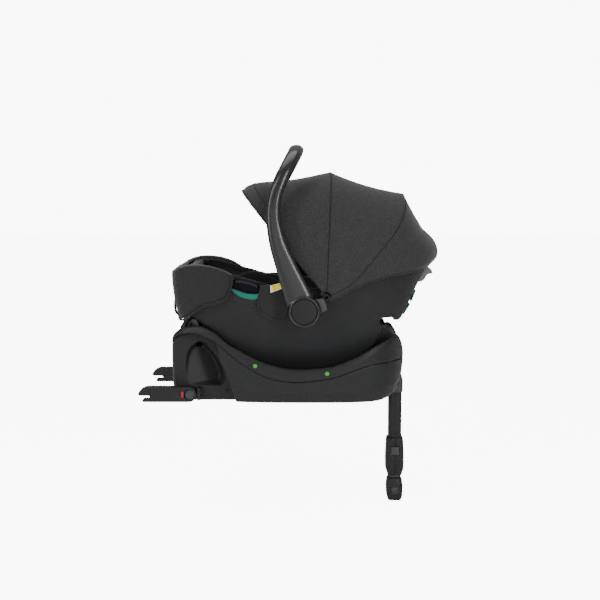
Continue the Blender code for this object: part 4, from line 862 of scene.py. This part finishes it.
def belt_routing():
    """The pocket of each lap-belt slot, navy darkened near to black as painted shade of the belt path, its
    ribs and the green lip under it.
    """
    slot = curve_through(mm((104, 284), (111, 297), (132, 296.5), (152, 291), (167, 283), (171, 274),
                            (167, 265), (150, 264), (124, 269), (105, 277)), 4)
    lip = curve_through(mm((101, 275.5), (112, 272.8), (137, 264), (157.5, 262.5), (170, 263)), 5)
    lip += curve_through(mm((168, 254), (161.3, 249.3), (150, 249), (127, 254.7), (111.7, 264.8)), 5)
    for side, s in SIDES:
        insert = flank_patch(f"slot_pocket_{side}", s, slot, 0.0022, 0.0060)
        # the pocket's near-black navy is partly the insert's own colour and partly painted shade
        dress(moulded(insert, 0.0009, 3), NAVY_WITH_PAINTED_SHADE, "carrier", f"belt_slot_insert_{side}")
        ribs = None
        for x in np.linspace(0.116, 0.164, 13):
            z = height_on(mm((104, 289), (111, 294.5), (132, 294), (152, 288.5), (171, 279)), x)
            y = s * flank_y(x, z, 0.0010)
            rib = block("rib", (x - 0.0009, y, z - 0.0060), (x + 0.0009, y - s * 0.003, z))
            ribs = join(ribs, rib) if ribs else rib
        ribs.name = f"slot_ribs_{side}"
        dress(ribs, SOFT_GREY, "carrier")
        guide = flank_patch(f"lap_guide_{side}", s, lip, -0.0046, -0.0004)
        dress(moulded(guide, 0.0009, 4), TEAL, "carrier", f"lap_belt_guide_{side}")


def seat_cushions():
    """The padded liner, the rolled edge over the shell's rim and the head pad."""
    seat = mm((-15, 312), (-10.5, 262), (12, 234))
    seat += [p for p in offset(SEAT_SURFACE, 0.0008) if p[0] > 0.040]
    brim = raised(curve_through(SEAT_RIM), 0.009)
    brim = between(brim, seat[0][0] + 0.004, seat[-1][0] - 0.004)
    pad = bucket("seat_cushion", 0.0222, seat + brim)
    inner = offset(SEAT_SURFACE, 0.013)
    cut(pad, bucket("hollow", 0.034, open_top(inner)))
    seams = []
    floor = [(x, z) for x, z in inner if 0.02 < x < 0.535]
    for s in (-1, 1):
        seams += fine([(x, s * 0.062, z) for x, z in floor])
        seams += fine([(x, s * flank_y(x, z - 0.018, 0.034), z - 0.018) for x, z in brim if 0.03 < x < 0.5])
    for cross in (0.080, 0.135, 0.190, 0.245, 0.300, 0.350, 0.400):
        z = float(np.interp(cross, *zip(*floor)))
        seams += fine([(cross, -0.062, z), (cross, 0.062, z)])
    upholster(stuffed(pad, seams, 0.0050, 0.0050), 0.6, "seat_pad")

    bolster = between(inner, 0.085, 0.330)
    crest = curve_through(mm((85, 262), (105, 281), (126, 290), (146, 292), (170, 287), (200, 272),
                             (250, 250), (330, 232)), 4)
    insert = bucket("infant_insert", 0.0345, bolster + crest[::-1])
    cut(insert, core(0.0540))
    seams = []
    for s in (-1, 1):
        for x in (0.125, 0.165, 0.205, 0.250, 0.295):
            low, high = np.interp(x, *zip(*bolster)), np.interp(x, *zip(*crest))
            seams += fine([(x, s * flank_y(x, z, 0.054), z) for z in np.linspace(low, high, 8)])
    upholster(stuffed(insert, seams, 0.0040, 0.0046), 0.7)

    rim = curve_through(SEAT_RIM)[::-1]
    band = [(x, z) for x, z in rim if 0.176 < x < 0.577]
    outline = raised(band, 0.007) + raised(band, -0.009)[::-1]
    roll = bucket("rim_roll", -0.0010, outline)
    cut(roll, core(0.0215))
    upholster(moulded(roll, 0.0026, 9), 0.5, "foam_liner")

    slope = math.atan2(0.256 - 0.158, 0.255 - 0.145)
    turn = Matrix.Translation((0.432, 0.0, 0.262)) @ Matrix.Rotation(-slope, 4, "Y")
    head = block("head_cushion", (-0.065, -0.100, -0.011), (0.065, 0.100, 0.011))
    head.data.transform(turn)
    wing = curve_through(mm((-55, 0), (62, 0), (58, 58), (10, 70), (-42, 44)), 4)
    for _side, s in SIDES:
        piece = plate("wing", wing, s * 0.082, s * 0.104)
        piece.data.transform(turn)
        join(head, piece)
    seams = [tuple(turn @ Vector((x, y, 0.011))) for y in (-0.034, 0.034)
             for x in np.linspace(-0.06, 0.06, 40)]
    seams += [tuple(turn @ Vector((-0.063, y, 0.0))) for y in np.linspace(-0.1, 0.1, 60)]
    upholster(stuffed(head, seams, 0.0040, 0.0042, 3.0), 0.7, "headrest", body="head_pad")


def on_seat(x, lift):
    return (x, height_on(SEAT_SURFACE, x) + 0.013 + lift)


def strap(name, points, half_width, thickness, *nodes):
    """A flat strap along points, its width across the seat, with softened edges."""
    path = curve_through(points, 10)
    rings = []
    for k, (x, y, z) in enumerate(path):
        a, b = path[max(k - 1, 0)], path[min(k + 1, len(path) - 1)]
        length = math.hypot(b[0] - a[0], b[2] - a[2])
        nx, nz = -(b[2] - a[2]) / length * thickness / 2, (b[0] - a[0]) / length * thickness / 2
        w = half_width
        lower = [(-w, -0.3), (-w + 0.0008, -1), (-w / 3, -1), (w / 3, -1), (w - 0.0008, -1), (w, -0.3)]
        section = lower + [(v, -t) for v, t in reversed(lower)]
        rings.append([(x + nx * t, y + v, z + nz * t) for v, t in section])
    made = loft(name, rings)
    made.data.set_sharp_from_angle(angle=math.radians(50))
    return dress(made, STRAP, "carrier", *nodes)


def harness():
    for side, s in SIDES:
        points = [(x, s * y, on_seat(x, lift)[1]) for x, y, lift in
                  ((0.396, 0.040, 0.009), (0.356, 0.038, 0.011), (0.316, 0.034, 0.015),
                   (0.281, 0.028, 0.019), (0.250, 0.020, 0.022))]
        strap(f"shoulder_webbing_{side}", points, 0.0125, 0.0024, f"shoulder_strap_{side}")
        path = [p for p in curve_through(points, 10) if 0.292 < p[0] < 0.384]
        rings = []
        for k, (x, y, z) in enumerate(path):
            end = min(1.0, 0.35 + 0.65 * min(k, len(path) - 1 - k) / 3)
            rings.append([(x - 0.55 * 0.0048 * end * v, y + 0.024 * end * u, z + 0.84 * 0.0048 * end * v)
                          for u, v in soft_round(28)])
        pad = loft(f"shoulder_pad_{side}", rings)
        upholster(moulded(pad, 0.0016, 4), 0.6)
    strap("crotch_webbing", [(x, 0.0, on_seat(x, lift)[1]) for x, lift in
                             ((0.204, 0.022), (0.194, 0.018), (0.184, 0.011), (0.174, 0.001))], 0.015, 0.0024,
          "crotch_strap")
    loop = mm((-42.5, 0, 250), (-44.5, 0, 239), (-46.4, 0, 222), (-45.6, 0, 206), (-40.5, 0, 194.5))
    strap("adjuster_webbing", loop, 0.0125, 0.0034, "adjuster_strap")


# ---- canopy ---------------------------------------------------------------------------------------------
def bow_place(angle, height, y):
    """A point at a distance from the canopy pivot; the rear line, with no angle, is bent."""
    if angle is None:
        angle = height_on(REAR_SWEEP, height)
    a = math.radians(angle)
    return Vector((CANOPY_PIVOT[0] + height * math.sin(a), y, CANOPY_PIVOT[1] + height * math.cos(a)))


def edge_points(angle, length, count=120):
    """The edge of a cloth panel over a bow, from the near foot to the far one."""
    half = [(0.014, 0.1915), (0.060, 0.1905), (0.110, 0.188), (length - 0.150, 0.184)]
    half += [(h, y) for y, h in arc(0.085, length - 0.095, 0.095, 0, 90, 9)] + [(length, 0.0)]
    line = curve_through(half, 4)
    line = [(h, -y) for h, y in line] + line[-2::-1]
    return spaced([bow_place(angle, min(h, length), y) for h, y in line], count)


def spaced(points, count):
    """The same polyline with count points, evenly spaced."""
    co = np.array([tuple(p) for p in points])
    along = np.concatenate([[0], np.cumsum(np.linalg.norm(np.diff(co, axis=0), axis=1))])
    at = np.linspace(0, along[-1], count)
    return [Vector([float(np.interp(t, along, co[:, k])) for k in range(3)]) for t in at]


def stretched(name, rows):
    """Thin cloth through rows of points, and its area."""
    sheet = grid(name, rows)
    area = sum(face.area for face in sheet.data.polygons)
    modify(sheet, "SOLIDIFY", thickness=0.0012, offset=0.0)
    return settle(sheet), area


def inward(at):
    """The direction from a point of the canopy towards the seat."""
    way = Vector((0.34, 0.0, 0.26)) - at
    way.y *= 0.55
    return way.normalized()


def span(a, b, steps, sag):
    """Rows of points from line a to line b, drawn in towards the seat between them."""
    rows = []
    for t in np.linspace(0.0035, 0.9965, steps + 1):
        middle = [(p.lerp(q, t), (p - q).length) for p, q in zip(a, b)]
        rows.append([at + inward(at) * (sag * 4 * t * (1 - t) * min(1.0, gap / 0.16)) for at, gap in middle])
    return rows


# folds of the canopy's back, from the rear bow to the hem: share of the way up from the hem, flare
BACK_FOLDS = ((0.54, 0.0160), (0.46, 0.0225), (0.36, 0.0330), (0.24, 0.0358), (0.12, 0.0285), (0.04, 0.0130))


def canopy():
    front = edge_points(-39.0, 0.3185)
    brim = edge_points(-35.0, 0.3204)
    middle = edge_points(2.4, 0.291)
    rear = edge_points(None, 0.303)
    hem = spaced([Vector(p) for p in on_both([(x, -y, z) for x, y, z in curve_through(HEM_LINE)])], len(rear))
    foot_a, foot_b, foot_c = ((CANOPY_PIVOT[0] + x, 0.0, CANOPY_PIVOT[1] + z)
                              for x, z in ((-0.130, 0.150), (0.008, 0.190), (0.140, 0.140)))

    rows = []
    for t in np.linspace(0.0035, 0.9965, 29):
        row = []
        for p, ridge, q in zip(front, brim, middle):
            back = ridge.lerp(q, 0.12)
            slack = inward(ridge.lerp(q, 0.52)) * (0.0050 * min(1.0, (p - q).length / 0.16))
            row.append(curve_at((p, ridge.lerp(p, 0.25), back, ridge.lerp(q, 0.52) + slack, q), t))
        rows.append(row)
    panel, area = stretched("canopy_front_cloth", rows)
    dress_blend(panel, "canopy_middle", "canopy_front", foot_b, foot_a, "canopy_front_panel")
    panel, area = stretched("canopy_middle_cloth", span(middle, rear, 22, 0.006))
    dress_blend(panel, "carrier", "canopy_middle", foot_c, foot_b, "canopy_middle_panel")

    rows = []
    for t in np.linspace(0.004, 0.997, 37):
        row = []
        for p, q in zip(rear, hem):
            full = min(1.0, (p - q).length / 0.15) * (1 - (q.y / 0.191) ** 2)
            folds = [q.lerp(p, share) + Vector((flare * full, 0, 0)) for share, flare in BACK_FOLDS]
            row.append(curve_at((p, *folds, q), t))
        rows.append(row)
    panel, area = stretched("canopy_rear_cloth", rows)
    dress(panel, CANOPY_CLOTH, "carrier", "canopy_rear_panel", "canopy_rear_hem")

    def away(p):
        return math.hypot(p.x - CANOPY_PIVOT[0], p.z - CANOPY_PIVOT[1])

    front = [p for p in front if away(p) > 0.048]
    for name, line, radius, body in (("canopy_front_edge", front, 0.0024, "canopy_front"),
                                     ("canopy_middle_seam", middle, 0.0013, "canopy_middle"),
                                     ("canopy_rear_seam", rear, 0.0011, "carrier"),
                                     ("canopy_hem_piping", hem, 0.0022, "carrier")):
        cloth = PIPING if radius > 0.002 else CANOPY_SEAM
        dress(tube(name, [tuple(p) for p in line], radius, 8), cloth, body)
    band = [p.lerp(q, 0.048 * min(1.0, (away(p) - 0.11) / 0.1)) - inward(p) * 0.0004
            for p, q in zip(brim, middle) if away(p) > 0.130]
    dress(tube("canopy_band_seam", [tuple(p) for p in band], 0.0008, 8), CANOPY_SEAM, "canopy_front")
    for side, s in SIDES:
        stud = cylinder(f"canopy_stud_{side}", 0.3173, 0.2645, 0.0048, s * 0.1905, s * 0.1950, 32, 0.0036)
        dress(stud, SHELL, "carrier")


def curve_at(points, t):
    """A point of the smooth curve through points, t from 0 to 1 along its polyline."""
    lengths = [0.0]
    for a, b in zip(points, points[1:]):
        lengths.append(lengths[-1] + max((a - b).length, 1e-6))
    at = t * lengths[-1]
    k = max(i for i in range(len(points) - 1) if lengths[i] <= at + 1e-12)
    u = (at - lengths[k]) / (lengths[k + 1] - lengths[k])
    b, c = points[k], points[k + 1]
    a = points[k - 1] if k else 2 * b - c
    d = points[k + 2] if k + 2 < len(points) else 2 * c - b
    return 0.5 * (2 * b + (c - a) * u + (2 * a - 5 * b + 4 * c - d) * u ** 2
                  + (3 * b - a - 3 * c + d) * u ** 3)


def dress_blend(piece, a, b, start, end, *nodes):
    piece.data.materials.clear()
    piece.data.materials.append(CANOPY_CLOTH)
    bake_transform(piece)
    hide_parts(*nodes)


# ---- studio ---------------------------------------------------------------------------------------------
def studio():
    scene = bpy.context.scene
    camera = bpy.data.objects.new("camera", bpy.data.cameras.new("camera"))
    scene.collection.objects.link(camera)
    camera.data.sensor_width = 36.0
    camera.data.lens = 72.0
    camera.data.clip_end = 60.0
    camera.location = (0.266, -2.9826, 0.5528)
    aim = Vector((0.266, 0.0, 0.2298)) - camera.location
    camera.rotation_euler = aim.to_track_quat("-Z", "Y").to_euler()
    scene.camera = camera

    foot_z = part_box("foot_sole")[0][2]
    floor = block("floor", (-9.0, -6.0, foot_z - 0.02), (9.5, 12.0, foot_z))
    n = Nodes("floor_paper")
    seen = n.put("ShaderNodeLightPath", "Is Camera Ray", {})
    n.set(Base_Color=n.ramp(n.noise(3.0), (0.90, 0.90, 0.90), (0.92, 0.92, 0.92)), Roughness=0.9,
          Specular_IOR_Level=0.1, Emission_Color=(1.0, 1.0, 1.0, 1.0),
          Emission_Strength=n.maths("MULTIPLY", seen, 8.6))
    floor.data.materials.append(n.material)

    world = bpy.data.worlds.new("studio")
    scene.world = world
    world.use_nodes = True
    tree = world.node_tree
    ray = tree.nodes.new("ShaderNodeLightPath")
    bright = tree.nodes.new("ShaderNodeMapRange")  # the backdrop is brighter than the light it gives
    bright.inputs["To Min"].default_value = 0.38
    bright.inputs["To Max"].default_value = 9.6
    tree.links.new(ray.outputs["Is Camera Ray"], bright.inputs["Value"])
    tree.links.new(bright.outputs["Result"], tree.nodes["Background"].inputs["Strength"])
    tree.nodes["Background"].inputs["Color"].default_value = (1.0, 1.0, 1.0, 1.0)

    def lamp(name, place, target, size, power):
        light = bpy.data.lights.new(name, "AREA")
        light.shape = "RECTANGLE"
        light.size, light.size_y = size
        light.energy = power
        obj = bpy.data.objects.new(name, light)
        scene.collection.objects.link(obj)
        obj.location = place
        obj.rotation_euler = (Vector(target) - Vector(place)).to_track_quat("-Z", "Y").to_euler()

    lamp("key", (-1.3, -2.2, 2.3), (0.25, 0.0, 0.25), (1.2, 1.2), 20.0)
    lamp("right_strip", (1.55, -2.0, 1.2), (0.30, 0.0, 0.30), (0.26, 1.8), 40.0)
    lamp("left_strip", (-1.5, -1.5, 0.9), (0.2, 0.0, 0.35), (0.28, 1.8), 22.0)
    lamp("top", (0.2, 0.3, 2.6), (0.25, 0.0, 0.2), (2.4, 1.6), 38.0)
    lamp("front", (0.30, -3.3, 0.25), (0.25, 0.0, 0.15), (2.8, 1.0), 13.0)


base_lower_housing()
base_upper_cover()
seat_shell()
carry_handle()
hard_pieces()
belt_routing()
foot_wrap()
side_flaps()
seat_cushions()
harness()
canopy()
studio()
